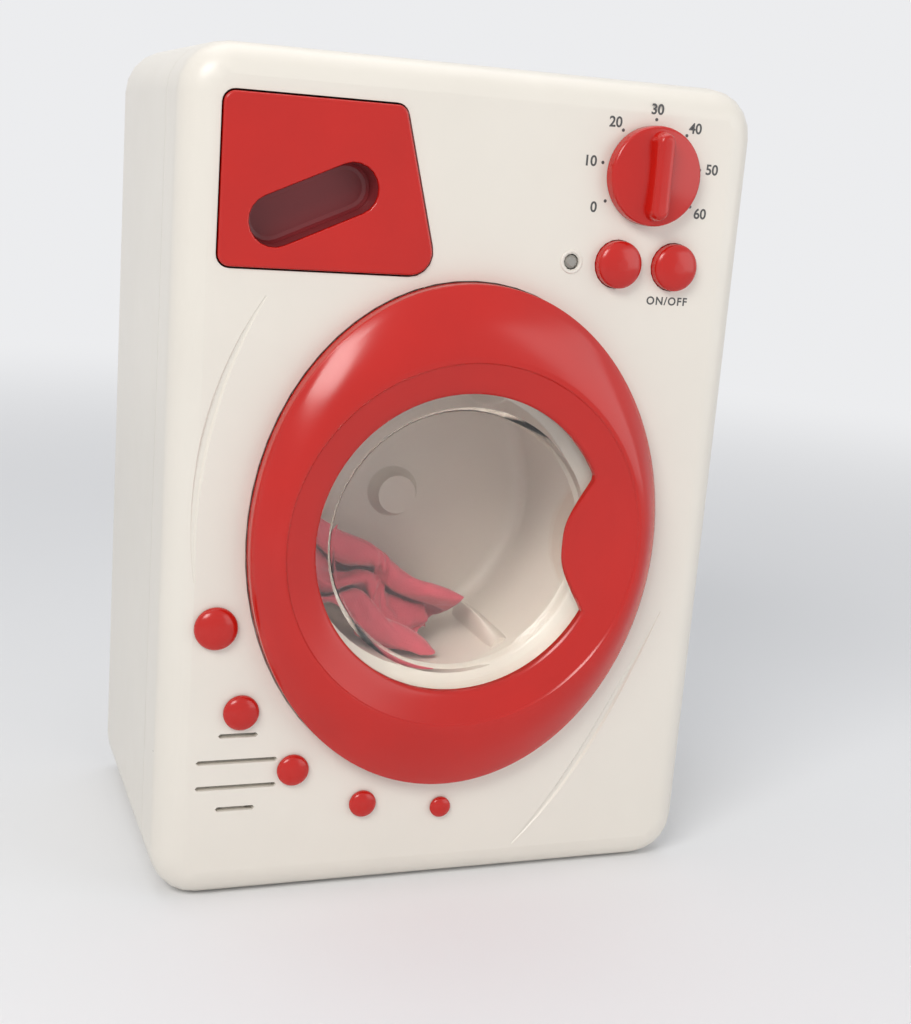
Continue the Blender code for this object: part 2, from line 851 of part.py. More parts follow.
def cover_box(offset):
    """Left, right, bottom and top of the battery cover, grown by an offset."""
    left, right, bottom, top = pocket_box()
    return (left - cover_ledge - offset, right + cover_ledge + offset,
            bottom - cover_ledge - offset, top + cover_screw_room + offset)


def cover_screw_place():
    """Centre of the battery cover's screw."""
    return 0.0, cover_box(0.0)[3] - cover_screw_inset


def plate_post_places():
    """Centres of the gear plate's four posts, beside the battery box and above the motor."""
    side = cover_box(0.0)[1] + pocket_wall + plate_post_room + plate_post_radius
    low = door_centre_height - plate_below + plate_post_inset
    high = pinion_y + motor_half_flat + plate_post_room + plate_post_radius
    return [(x, y) for x in (-side, side) for y in (low, high)]


def make_rear_housing(parent):
    """The deep rear shell with its screw tubes, battery pocket and gear plate posts."""
    seam = -front_shell_depth - rest_gap
    lip_outer = wall + rest_gap
    lip_inner = lip_outer + lip_thickness
    rings = list(reversed(roll_rings(rear_edge_roll, 0.0, back_plane, -1)))
    rings += [
        ring_at(cabinet_outline(0.0), seam),
        ring_at(cabinet_outline(lip_outer), seam),
        ring_at(cabinet_outline(lip_outer), seam + lip_length),
        ring_at(cabinet_outline(lip_inner), seam + lip_length),
        ring_at(cabinet_outline(lip_inner), seam - lip_root),
        ring_at(cabinet_outline(wall), seam - lip_root - lip_thickness),
    ]
    rings += roll_rings(rear_edge_roll - wall, wall, back_inside, -1)
    housing = loft(rings)
    bite = back_inside - wall / 2
    tube_front = -joint_depth - rest_gap
    left, right, bottom, top = pocket_box()
    pocket_front = back_plane + cover_thickness + rest_gap + 2 * (cell_radius + rest_gap)
    ledge_front = back_plane + cover_thickness + rest_gap + pocket_wall
    supports = [turned([(tube_radius, bite), (tube_radius, tube_front)], boss_segments, spot)
                for spot in post_places()]
    supports += [turned([(plate_post_radius, bite), (plate_post_radius, plate_back - rest_gap)],
                        boss_segments, spot) for spot in plate_post_places()]
    ledge = cover_box(pocket_wall)
    supports.append(prism(rounded_box(*ledge, cover_corner + pocket_wall, 2), bite, ledge_front))
    housing = join(housing, supports)
    walls = (left - pocket_wall, right + pocket_wall, bottom - pocket_wall, top + pocket_wall)
    seat_bite = ledge_front - pocket_wall / 2
    housing = join(housing, [
        prism(rounded_box(*walls, cover_corner, 2), seat_bite, pocket_front + pocket_wall)])
    housing = join(housing, [
        turned([(plate_post_radius, seat_bite), (plate_post_radius, ledge_front + cover_boss_length)],
               boss_segments, cover_screw_place())])
    housing = cut(housing, [prism(rounded_box(*cover_box(rest_gap), cover_corner + rest_gap, 2),
                                  back_plane - overrun, back_plane + cover_thickness + rest_gap)])
    holes = [prism(rounded_box(left, right, bottom, top, cover_corner, 2), back_plane - overrun, pocket_front)]
    pilot = screw_shank_radius + running_gap
    holes.append(turned([(pilot, back_plane), (pilot, ledge_front + cover_boss_length - pocket_wall)],
                        screw_segments, cover_screw_place()))
    for spot in plate_post_places():
        holes.append(turned([(pilot, plate_back + overrun), (pilot, plate_back - screw_bite - overrun)],
                            screw_segments, spot))
    tube_seat = tube_front - tube_floor
    for spot in post_places():
        holes.append(turned([(tube_bore, back_plane - overrun), (tube_bore, tube_seat), (pilot, tube_seat),
                             (pilot, tube_front + overrun)], screw_segments, spot))
    place("rear_housing", cut(housing, holes), cream, parent)


def make_housing_screws(parent):
    """Six long screws, driven in from the back, that hold the cabinet shells together."""
    under_head = -joint_depth - rest_gap - tube_floor - rest_gap
    shapes = [screw(under_head - screw_head_height, -joint_depth + screw_bite, screw_shank_radius,
                    screw_head_radius, screw_head_height, spot) for spot in post_places()]
    place_each("housing_screw", shapes, steel, parent)


# Door pieces
def tongue_at(angle):
    """How far the finger tongue reaches into the window at an angle, from 0 to 1."""
    turn = (angle - tongue_middle_angle + math.pi) % (2 * math.pi) - math.pi
    if abs(turn) >= tongue_half_angle:
        return 0.0
    return 1 - abs(turn / tongue_half_angle) ** tongue_fullness


def door_ring_row(share, height, inset=0.0):
    """A ring of the door part of the way from its oval edge to its round crest."""
    row = []
    for i in range(door_segments):
        angle = 2 * math.pi * i / door_segments
        across = Vector((math.cos(angle), math.sin(angle)))
        edge = Vector(((door_half_width - inset) * across.x, (door_half_height - inset) * across.y))
        spot = edge.lerp(across * crest_radius, share)
        row.append(Vector((spot.x, spot.y + door_centre_height, height)))
    return row


def window_row(height, drop):
    """A ring along the window's edge, which the tongue pushes inwards and lowers."""
    row = []
    for i in range(door_segments):
        angle = 2 * math.pi * i / door_segments
        tongue = tongue_at(angle)
        radius = window_radius - tongue_reach * tongue
        row.append(Vector((radius * math.cos(angle), radius * math.sin(angle) + door_centre_height,
                           height - drop * tongue)))
    return row


def slope_height(share):
    """Height of the door's convex slope, part of the way from its rim to its crest."""
    return door_rim_height + (door_stand - door_rim_height) * math.sin(math.pi / 2 * share)


def make_door_ring(parent, hinge):
    """The oval red shell with its finger tongue, hinge knuckle, latch and screw bosses."""
    pane_front = pane_stand + rest_gap
    rows = [door_ring_row(0.0, 0.0), door_ring_row(0.0, door_rim_height - door_edge_round)]
    rows += [door_ring_row(share, slope_height(share)) for share in slope_shares]
    rows += [
        ring_at(circle(window_radius + door_skin, door_segments, door_centre),
                window_edge_stand + door_edge_round),
        window_row(window_edge_stand, tongue_drop),
        window_row(pane_front, 0.0),
        ring_at(circle(window_radius + door_skin, door_segments, door_centre), pane_front),
        ring_at(circle(crest_radius, door_segments, door_centre), door_stand - door_skin),
    ]
    middle_share = slope_shares[2]
    rows += [door_ring_row(middle_share, slope_height(middle_share) - door_skin),
             door_ring_row(0.0, door_rim_height - door_edge_round, door_skin),
             door_ring_row(0.0, 0.0, door_skin)]
    ring = loft(rows, tube=True)
    knuckle_half = hinge_ear_offset - rest_gap
    knuckle = [(hinge_x + hinge_ear_radius, door_rim_height + door_skin)]
    knuckle += [(hinge_x - hinge_ear_radius, door_rim_height + door_skin)]
    knuckle += arc((hinge_x, hinge_stand), hinge_ear_radius, math.pi, 2 * math.pi, corner_steps + 1)
    block = loft([[Vector((x, door_centre_height + side * knuckle_half, z)) for x, z in knuckle]
                  for side in (-1, 1)])
    latch_x = door_half_width - latch_inset
    tab = prism(rounded_box(latch_x - latch_thickness / 2, latch_x + latch_thickness / 2,
                            door_centre_height - latch_width / 2, door_centre_height + latch_width / 2,
                            latch_thickness / 4, 1), seat_floor - latch_reach, slope_height(0.5))
    bosses = [turned([(pane_boss_radius, pane_front), (pane_boss_radius, window_edge_stand)],
                     screw_segments, spot) for spot in pane_screw_places()]
    ring = join(ring, [block, tab] + bosses)
    pin_hole = turned([(hinge_pin_radius + running_gap, -hinge_ear_offset),
                       (hinge_pin_radius + running_gap, hinge_ear_offset)], screw_segments + 2)
    holes = [sideways(pin_hole, (hinge_x, door_centre_height, hinge_stand))]
    pilot = pane_screw_shank + running_gap
    top = pane_stand - pane_thickness + pane_screw_length + rest_gap
    holes += [turned([(pilot, pane_stand), (pilot, top)], screw_segments, spot)
              for spot in pane_screw_places()]
    place("door_ring", cut(ring, holes), red, parent, hinge)


def pane_screw_places():
    """Centres of the four screws that hold the pane."""
    radius = pane_flange_radius - pane_screw_inset
    return [(radius * math.cos(angle), door_centre_height + radius * math.sin(angle))
            for angle in pane_screw_angles]


def make_door_window(parent, hinge):
    """The clear dished pane, held behind the ring by its flange."""
    back = pane_stand - pane_thickness
    profile = [(pane_step_radius - pane_step_width, pane_stand - pane_step_depth),
               (pane_step_radius, pane_stand), (pane_flange_radius, pane_stand),
               (pane_flange_radius, back), (pane_step_radius + pane_thickness / 2, back),
               (pane_step_radius + pane_thickness / 2 - pane_step_width, back - pane_step_depth)]
    pane = turned(profile, pane_segments, door_centre)
    hole = pane_screw_shank + rest_gap
    holes = [turned([(hole, back - overrun), (hole, pane_stand + overrun)], screw_segments, spot)
             for spot in pane_screw_places()]
    place("door_window", cut(pane, holes), clear, parent, hinge)
    head_top = back - rest_gap - pane_screw_head_height
    shapes = [screw(head_top, back + pane_screw_length, pane_screw_shank, pane_screw_head,
                    pane_screw_head_height, spot) for spot in pane_screw_places()]
    place_each("window_screw", shapes, steel, parent, hinge)


def make_hinge_pin(parent):
    """The steel pin through both ears and the knuckle."""
    reach = hinge_ear_offset + hinge_ear_width
    pin = turned([(hinge_pin_radius, -reach), (hinge_pin_radius, reach)], screw_segments + 2)
    place("hinge_pin", sideways(pin, (hinge_x, door_centre_height, hinge_stand)), steel, parent)


# Drum pieces
def make_drum(parent, axis):
    """The round tub with its rolled lip, three lifters and the hub for its shaft."""
    boss_top = drum_inside_back + drum_boss_height
    profile = [
        (drum_hub_radius, boss_top),
        (drum_boss_radius, drum_inside_back),
        (drum_radius - drum_wall - drum_wall, drum_inside_back),
        (drum_radius - drum_wall, drum_inside_back + drum_wall),
        (drum_radius - drum_wall, drum_front - drum_lip_thickness),
        (drum_lip_radius, drum_front - drum_lip_thickness / 2),
        (drum_lip_radius, drum_front),
        (drum_flange_radius, drum_front),
        (drum_flange_radius, drum_front - drum_lip_thickness),
        (drum_radius, drum_front - drum_lip_thickness),
        (drum_radius, drum_back + drum_wall),
        (drum_radius - drum_wall, drum_back),
        (drum_hub_radius, drum_back),
        (drum_hub_radius, hub_back),
    ]
    drum = turned(profile, drum_segments, door_centre)
    fins = []
    inner = drum_radius - drum_wall
    ends = (drum_inside_back + lifter_margin, drum_front - drum_lip_thickness - lifter_margin)
    for i in range(lifter_count):
        angle = laundry_middle_angle + math.pi / lifter_count + 2 * math.pi * i / lifter_count
        out = Vector((math.cos(angle), math.sin(angle), 0.0))
        side = Vector((-out.y, out.x, 0.0))
        centre = Vector((*door_centre, 0.0))
        rings = []
        for depth, height_share in zip((ends[0], ends[0] + lifter_margin, ends[1] - lifter_margin, ends[1]),
                                       lifter_end_shares):
            top = inner - lifter_height * height_share
            ring = []
            for radius, half in ((inner + drum_wall / 2, lifter_base / 2), (top, lifter_crown / 2),
                                 (top, -lifter_crown / 2), (inner + drum_wall / 2, -lifter_base / 2)):
                spot = centre + out * radius + side * half
                ring.append(Vector((spot.x, spot.y, depth)))
            rings.append(ring)
        fins.append(loft(rings))
    drum = join(drum, fins)
    bore = shaft_radius + running_gap
    drum = cut(drum, [turned([(bore, hub_back - overrun), (bore, hub_back + shaft_blind_depth)],
                             boss_segments, door_centre)])
    place("drum", drum, grey, parent, axis)


lifter_end_shares = (0.25, 1.0, 1.0, 0.25)


def make_drum_drive(parent, axis):
    """The steel drum shaft, the big gear on it and the clip that keeps it in its bush."""
    shaft_end = plate_back - bush_tail - rest_gap - clip_thickness - overrun
    shaft = turned([(shaft_radius, shaft_end), (shaft_radius, hub_back + shaft_blind_depth - rest_gap)],
                   boss_segments, door_centre)
    place("drum_shaft", shaft, steel, parent, axis)
    direction = idler_angle
    outline = gear_outline(drum_gear_teeth, drum_gear_module, direction, False)
    outline = [(x + door_centre[0], y + door_centre[1]) for x, y in outline]
    gear = prism(outline, gear_back, gear_front)
    bore = shaft_radius + running_gap
    web_radius = (drum_gear_teeth / 2 - gear_root_share) * drum_gear_module - gear_rim
    web = [(gear_hub_radius, gear_front + overrun), (web_radius, gear_front + overrun),
           (web_radius, gear_front - gear_web_depth), (gear_hub_radius, gear_front - gear_web_depth)]
    gear = cut(gear, [turned(web, drum_segments // 2, door_centre, tube=True),
                      turned([(bore, gear_back - overrun), (bore, gear_front + overrun)], boss_segments,
                             door_centre)])
    place("drum_gear", gear, white, parent, axis)
    clip_front = plate_back - bush_tail - rest_gap
    clip = turned([(bore, clip_front), (clip_radius, clip_front), (clip_radius, clip_front - clip_thickness),
                   (bore, clip_front - clip_thickness)], boss_segments, door_centre, tube=True)
    place("shaft_clip", clip, steel, parent, axis)


def laundry_skin(across_share, along_share):
    """Thickness of the cloth heap, with its folds, at a spot given from -1 to 1 each way."""
    swell = math.sqrt(max(0.0, 1 - across_share ** 2)) * math.sqrt(max(0.0, 1 - along_share ** 2))
    wave = math.sin(laundry_folds * math.pi * (across_share + along_share * along_share / 2))
    ripple = math.cos(laundry_folds * (along_share * 2 - across_share))
    return laundry_edge + laundry_thickness * swell * (1 + laundry_fold_share * (wave + ripple) / 2)


def make_laundry(parent, axis):
    """A crumpled cloth heap that follows the drum's wall below and folds above."""
    floor = drum_radius - drum_wall - rest_gap
    front = drum_front - drum_lip_thickness - laundry_front_room
    back = drum_inside_back + laundry_back_room
    rows = []
    for j in range(laundry_along + 1):
        along = -math.cos(math.pi * (j + 1) / (laundry_along + 2))
        depth = (front + back) / 2 + along * (front - back) / 2
        ring = []
        for i in range(laundry_across + 1):
            across = -math.cos(math.pi * (i + 1) / (laundry_across + 2))
            ring.append((across, along, True, depth))
        for i in reversed(range(0, laundry_across + 1, 2)):
            across = -math.cos(math.pi * (i + 1) / (laundry_across + 2))
            ring.append((across, along, False, depth))
        points = []
        for across, along_here, upper, height in ring:
            angle = laundry_middle_angle + across * laundry_half_angle * math.sqrt(1 - along_here ** 2 / 2)
            radius = floor - (laundry_skin(across, along_here) if upper else 0.0)
            points.append(Vector((radius * math.cos(angle), door_centre_height + radius * math.sin(angle),
                                  height)))
        rows.append(points)
    place("laundry", loft(rows), cloth_red, parent, axis)


# Gear plate, motor and idler
def make_gear_plate(parent):
    """The plate that carries the drum shaft, the idler and the motor."""
    side, high = plate_post_places()[-1]
    side += plate_post_inset
    outline = rounded_box(-side, side, door_centre_height - plate_below, high + plate_post_inset,
                          plate_corner, 2)
    plate = prism(outline, plate_back, plate_front)
    holes = []
    for radius, spot in ((bush_radius + running_gap, door_centre),
                         (motor_nose_radius + rest_gap, (pinion_x, pinion_y)),
                         (idler_pin_radius + running_gap, (idler_x, idler_y))):
        holes.append(turned([(radius, plate_back - overrun), (radius, plate_front + overrun)],
                            boss_segments, spot))
    clear_hole = screw_shank_radius + rest_gap
    for spot in plate_post_places():
        holes.append(turned([(clear_hole, plate_back - overrun), (clear_hole, plate_front + overrun)],
                            screw_segments, spot))
    place("gear_plate", cut(plate, holes), white, parent)
    head_top = plate_front + rest_gap + screw_head_height
    shapes = [screw(head_top, plate_back - screw_bite, screw_shank_radius, screw_head_radius,
                    screw_head_height, spot) for spot in plate_post_places()]
    place_each("plate_screw", shapes, steel, parent)
    bore = shaft_radius + running_gap
    flange = plate_front + bush_flange_thickness
    bush = [(bore, flange), (bush_flange_radius, flange), (bush_flange_radius, plate_front + running_gap),
            (bush_radius, plate_front + running_gap), (bush_radius, plate_back - bush_tail),
            (bore, plate_back - bush_tail)]
    place("drum_bush", turned(bush, boss_segments, door_centre, tube=True), brass, parent)
    pin = turned([(idler_pin_radius, plate_back), (idler_pin_radius, gear_front)], boss_segments,
                 (idler_x, idler_y))
    place("idler_pin", pin, steel, parent)


def make_idler(parent, axis):
    """The compound idler: a small gear that drives the drum's and a big one behind it."""
    spot = (idler_x, idler_y)
    small = gear_outline(idler_small_teeth, drum_gear_module, idler_angle + math.pi, True)
    big = gear_outline(idler_big_teeth, motor_gear_module, pinion_angle, False)
    gear = prism([(x + spot[0], y + spot[1]) for x, y in big], idler_big_back, idler_big_front)
    overlap = idler_big_width / 2
    gear = join(gear, [prism([(x + spot[0], y + spot[1]) for x, y in small],
                             idler_big_front - overlap, gear_front)])
    bore = idler_pin_radius + running_gap
    gear = cut(gear, [turned([(bore, idler_big_back - overrun), (bore, gear_front + overrun)],
                             boss_segments, spot)])
    place("idler_gear", gear, white, parent, axis)


def make_pinion(parent, axis):
    """The motor's pinion and the thin shaft it is pressed on."""
    spot = (pinion_x, pinion_y)
    outline = gear_outline(pinion_teeth, motor_gear_module, pinion_angle + math.pi, True)
    gear = prism([(x + spot[0], y + spot[1]) for x, y in outline], idler_big_back, idler_big_front)
    shaft = turned([(motor_shaft_radius, plate_back - pinion_hub_radius),
                    (motor_shaft_radius, idler_big_back + rest_gap)], screw_segments, spot)
    place("motor_pinion", join(gear, [shaft]), brass, parent, axis)


def make_motor(parent):
    """The small can motor on the back of the gear plate."""
    spot = (pinion_x, pinion_y)
    front = plate_back - rest_gap
    flat = math.asin(motor_half_flat / motor_radius)
    outline = arc(spot, motor_radius, -flat, flat, corner_steps)
    outline += arc(spot, motor_radius, math.pi - flat, math.pi + flat, corner_steps)
    can = prism(outline, front - motor_length, front)
    nose = turned([(motor_nose_radius, front - overrun), (motor_nose_radius, plate_front - rest_gap)],
                  boss_segments, spot)
    can = join(can, [nose])
    bore = motor_shaft_radius + running_gap
    can = cut(can, [turned([(bore, plate_back - pinion_hub_radius - rest_gap), (bore, plate_front + overrun)],
                           screw_segments, spot)])
    place("motor", can, steel, parent)


# Soap drawer
def tray_box(offset):
    """Left, right, bottom and top of the tray, grown by an offset."""
    bottom = drawer_bottom + tray_floor_inset
    return (drawer_left + tray_side_inset - offset,
            drawer_left + drawer_top_width - tray_right_inset + offset,
            bottom - offset, bottom + tray_wall_height + offset)


def make_drawer(parent):
    """The drawer's slanted front with its dished finger slot, and the open tray behind it."""
    back = drawer_stand - drawer_front_thickness
    front = loft([ring_at(drawer_outline(0.0), back),
                  ring_at(drawer_outline(0.0), drawer_stand - drawer_edge_round),
                  ring_at(drawer_outline(-drawer_edge_round), drawer_stand)])
    ends = [(drawer_left + x, drawer_bottom + y) for x, y in (slot_left, slot_right)]
    slot_end = back - slot_depth
    front = join(front, [prism(stadium(*ends, slot_radius + slot_wall), slot_end, back / 2)])
    front = cut(front, [prism(stadium(*ends, slot_radius), slot_end + slot_wall, drawer_stand + overrun)])
    place("drawer_front", front, red, parent)
    tray_front = slot_end - rest_gap
    left, right, bottom, top = tray_box(0.0)
    tray = prism(rounded_box(left, right, bottom, top, tray_corner, 2), tray_front - tray_length, tray_front)
    hollow = prism(rounded_box(left + tray_wall, right - tray_wall, bottom + tray_wall,
                               top + tray_wall_height, tray_corner, 2),
                   tray_front - tray_length + tray_wall, tray_front - tray_wall)
    place("drawer_tray", cut(tray, [hollow]), cream, parent)


def make_drawer_guide(parent):
    """The sleeve behind the panel that the tray runs in."""
    left, right, bottom, top = tray_box(sliding_gap)
    top += guide_headroom
    front = panel_back - rest_gap
    flange_back = front - guide_flange_thickness
    end = front - slot_depth - tray_length - guide_spare

    def ring(grow, height):
        return ring_at(rounded_box(left - grow, right + grow, bottom - grow, top + grow,
                                   tray_corner + grow, 2), height)

    both = guide_wall + guide_flange
    guide = loft([ring(guide_wall, end - guide_wall), ring(guide_wall, flange_back), ring(both, flange_back),
                  ring(both, front), ring(0.0, front), ring(0.0, end)])
    place("drawer_guide", guide, white, parent)


# Controls
def make_knob(parent, axis):
    """The round programme knob with its upright grip, held by a washer and a screw."""
    spot = (knob_x, knob_y)
    low = rest_gap
    top = low + knob_height
    disc = turned([(knob_radius, low), (knob_radius, top - knob_edge_round - knob_crown),
                   (knob_radius - knob_edge_round, top - knob_crown), (knob_radius / 2, top),
                   (knob_radius / 4, top)], knob_segments, spot)
    half = knob_grip_half_length - knob_grip_half_width
    rings = []
    for shrink, height in ((0.0, low + knob_height / 2), (0.0, top),
                           (knob_grip_taper / 2, low + knob_grip_height - knob_grip_taper),
                           (knob_grip_taper * 2, low + knob_grip_height)):
        rings.append(ring_at(stadium((knob_x, knob_y - half), (knob_x, knob_y + half),
                                     knob_grip_half_width - shrink), height))
    knob = join(disc, [loft(rings)])
    shaft_end = panel_back - rest_gap
    knob = join(knob, [turned([(knob_shaft_radius, shaft_end), (knob_shaft_radius, low + knob_edge_round)],
                              drum_segments // 2, spot)])
    pilot = screw_shank_radius + running_gap
    knob = cut(knob, [turned([(pilot, shaft_end - overrun), (pilot, low + knob_height / 2)],
                             screw_segments, spot)])
    place("dial_knob", knob, red, parent, axis)
    washer_front = shaft_end - rest_gap
    washer_back = washer_front - knob_washer_thickness
    hole = screw_shank_radius + rest_gap
    washer = turned([(hole, washer_front), (knob_washer_radius, washer_front),
                     (knob_washer_radius, washer_back), (hole, washer_back)], boss_segments, spot,
                    tube=True)
    place("knob_washer", washer, white, parent, axis)
    head_top = washer_back - rest_gap - screw_head_height
    place("knob_screw", screw(head_top, low + knob_height / 2 - rest_gap, screw_shank_radius,
                              screw_head_radius, screw_head_height, spot), steel, parent, axis)


def stem_end():
    """Height of the buttons' stem ends at rest."""
    return panel_back - rest_gap - button_flange_thickness - button_stem_length


def board_front():
    """Height of the circuit board's front face."""
    return stem_end() - button_travel - rest_gap - plunger_length - switch_height - rest_gap


def make_buttons(parent):
    """Two domed push buttons, each with a flange behind the panel and a stem to its switch."""
    flange_top = panel_back - rest_gap
    flange_low = flange_top - button_flange_thickness
    for name, (x, y) in button_places().items():
        profile = [(button_stem_radius, stem_end()), (button_stem_radius, flange_low),
                   (button_flange_radius, flange_low), (button_flange_radius, flange_top),
                   (button_radius, flange_top), (button_radius, button_stand)]
        for step in range(1, dome_steps):
            angle = math.pi / 2 * step / dome_steps
            profile.append((button_radius * math.cos(angle), button_stand + button_dome * math.sin(angle)))
        place(name, turned(profile, drum_segments // 2, (x, y)), red, parent, (x, y, 0.0))


dome_steps = 3


def make_circuit_board(parent):
    """The board behind the buttons, its two switches, the lamp's light guide and the screws."""
    front = board_front()
    back = front - board_thickness
    board = prism(rounded_box(*board_box(), board_corner, 1), back, front)
    hole = board_screw_shank + rest_gap
    board = cut(board, [turned([(hole, back - overrun), (hole, front + overrun)], screw_segments, spot)
                        for spot in board_post_places()])
    place("circuit_board", board, board_green, parent)
    shapes = []
    low = front + rest_gap
    for x, y in button_places().values():
        half = switch_side / 2
        body = prism(rounded_box(x - half, x + half, y - half, y + half, half / 4, 1), low, low + switch_height)
        plunger = turned([(plunger_radius, low + switch_height / 2),
                          (plunger_radius, low + switch_height + plunger_length)], screw_segments, (x, y))
        shapes.append(join(body, [plunger]))
    place_each("push_switch", shapes, dark, parent)
    lamp = turned([(lamp_radius, low), (lamp_radius, lamp_stand - lamp_radius / 2),
                   (lamp_radius * lamp_crown_share, lamp_stand)], boss_segments, lamp_place())
    place("indicator_lamp", lamp, lamp_white, parent)
    head_top = back - rest_gap - screw_head_height
    shapes = [screw(head_top, front + board_screw_bite, board_screw_shank, board_screw_head,
                    screw_head_height, spot) for spot in board_post_places()]
    place_each("board_screw", shapes, steel, parent)


lamp_crown_share = 0.6


def make_speaker(parent):
    """The round speaker in its rib, with an open cone in front and a magnet behind."""
    front = panel_back - rest_gap
    basket = front - speaker_rim
    magnet = basket - speaker_basket
    profile = [
        (speaker_magnet_radius / 2, front - speaker_cone_depth),
        (speaker_cone_radius, front), (speaker_radius, front), (speaker_radius, basket),
        (speaker_cone_radius, basket), (speaker_magnet_radius, magnet),
        (speaker_magnet_radius, magnet - speaker_magnet),
    ]
    spot = beyond_door(speaker_angle, speaker_margin)
    place("speaker", turned(profile, drum_segments // 2, spot), dark, parent)


def make_studs(parent):
    """Five red studs of falling size, each with a stem through the panel."""
    shapes = []
    for x, y, radius in stud_places():
        base = rest_gap
        profile = [(stud_stem_radius, panel_back + wall - stud_stem_length), (stud_stem_radius, base),
                   (radius, base), (radius, base + stud_skirt)]
        for step in range(1, dome_steps):
            angle = math.pi / 2 * step / dome_steps
            profile.append((radius * math.cos(angle),
                            base + stud_skirt + radius * stud_dome_share * math.sin(angle)))
        shapes.append(turned(profile, boss_segments, (x, y)))
    place_each("accent_stud", shapes, red, parent)


# Battery box
def make_battery_box(parent):
    """Three cells with their contacts, and the screwed cover that closes their pocket."""
    left, right, bottom, top = pocket_box()
    middle = back_plane + cover_thickness + rest_gap + cell_radius + rest_gap / 2
    base = bottom + cell_end_room
    cells = []
    springs = []
    buttons = []
    for i in range(cell_count):
        x = (i - (cell_count - 1) / 2) * cell_pitch
        profile = [(cell_radius, -base), (cell_radius, -base - cell_length),
                   (cell_nub_radius, -base - cell_length), (cell_nub_radius, -base - cell_length - cell_nub)]
        cells.append(sideways(turned(profile, boss_segments), (x, 0.0, middle)))
        profile = [(contact_spring_radius, -bottom - rest_gap - contact_plate / 2),
                   (contact_spring_tip, -base + rest_gap)]
        springs.append(sideways(turned(profile, screw_segments), (x, 0.0, middle)))
        nub_end = base + cell_length + cell_nub + rest_gap
        profile = [(contact_spring_tip, -nub_end), (contact_spring_radius, -top + rest_gap + contact_plate / 2)]
        buttons.append(sideways(turned(profile, screw_segments), (x, 0.0, middle)))
    place_each("battery", cells, cell_black, parent)
    strip_half = (right - left) / 2 - cover_corner
    depth_half = contact_half_width
    low = sideways(prism(rounded_box(-strip_half, strip_half, -depth_half, depth_half, contact_plate, 1),
                         -bottom - rest_gap - contact_plate, -bottom - rest_gap), (0.0, 0.0, middle))
    high = sideways(prism(rounded_box(-strip_half, strip_half, -depth_half, depth_half, contact_plate, 1),
                          -top + rest_gap, -top + rest_gap + contact_plate), (0.0, 0.0, middle))
    place("lower_contacts", join(low, springs), steel, parent)
    place("upper_contacts", join(high, buttons), steel, parent)
    spot = cover_screw_place()
    inner = back_plane + cover_thickness
    cover = loft([ring_at(rounded_box(*cover_box(-cover_edge), cover_corner, 2), back_plane),
                  ring_at(rounded_box(*cover_box(0.0), cover_corner, 2), back_plane + cover_edge),
                  ring_at(rounded_box(*cover_box(0.0), cover_corner, 2), inner)])
    hole = screw_shank_radius + rest_gap
    sink = screw_head_radius + rest_gap
    cover = cut(cover, [turned([(sink, back_plane - overrun), (sink, back_plane + cover_thickness / 2),
                                (hole, back_plane + cover_thickness / 2), (hole, inner + overrun)],
                               screw_segments, spot)])
    place("battery_cover", cover, cream, parent)
    under_head = back_plane + cover_thickness / 2 - running_gap
    place("battery_cover_screw",
          screw(under_head - cover_screw_head, inner + cover_boss_length - pocket_wall, screw_shank_radius,
                screw_head_radius, cover_screw_head, spot), steel, parent)


cover_edge = 0.5 * mm
cover_screw_head = 0.8 * mm


def empty(name, parent, location):
    """An empty that carries a moving group on its joint's axis."""
    item = bpy.data.objects.new(name, None)
    item.parent = parent
    item.location = location
    bpy.context.scene.collection.objects.link(item)
    return item


def build():
    """Clears the scene and makes every piece."""
    for item in list(bpy.data.objects):
        bpy.data.objects.remove(item)
    plane = empty("front_plane", None, (0.0, front_plane_y, 0.0))
    plane.rotation_euler = (math.pi / 2, 0.0, 0.0)
    make_front_panel(plane)
    make_rear_housing(plane)
    make_housing_screws(plane)
    hinge = (hinge_x, door_centre_height, hinge_stand)
    make_door_ring(plane, hinge)
    make_door_window(plane, hinge)
    make_hinge_pin(plane)
    drum_axis = (*door_centre, drum_front)
    make_drum(plane, drum_axis)
    make_drum_drive(plane, drum_axis)
    make_laundry(plane, drum_axis)
    make_gear_plate(plane)
    make_idler(plane, (idler_x, idler_y, gear_front))
    make_pinion(plane, (pinion_x, pinion_y, idler_big_front))
    make_motor(plane)
    make_drawer(plane)
    make_drawer_guide(plane)
    make_knob(plane, (knob_x, knob_y, 0.0))
    make_buttons(plane)
    make_circuit_board(plane)
    make_speaker(plane)
    make_studs(plane)
    make_battery_box(plane)


build()
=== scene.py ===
"""Looks of a toy washing machine: finer skins, finishes, lettering, cloth, light and camera.

Shapes are drawn on the front panel's own plane, as the solids were: x runs to the right, y up
from the base and z out of the panel. to_world carries them into the shared frame.
"""
import json
import math

import bmesh
import bpy
from mathutils import Matrix, Vector


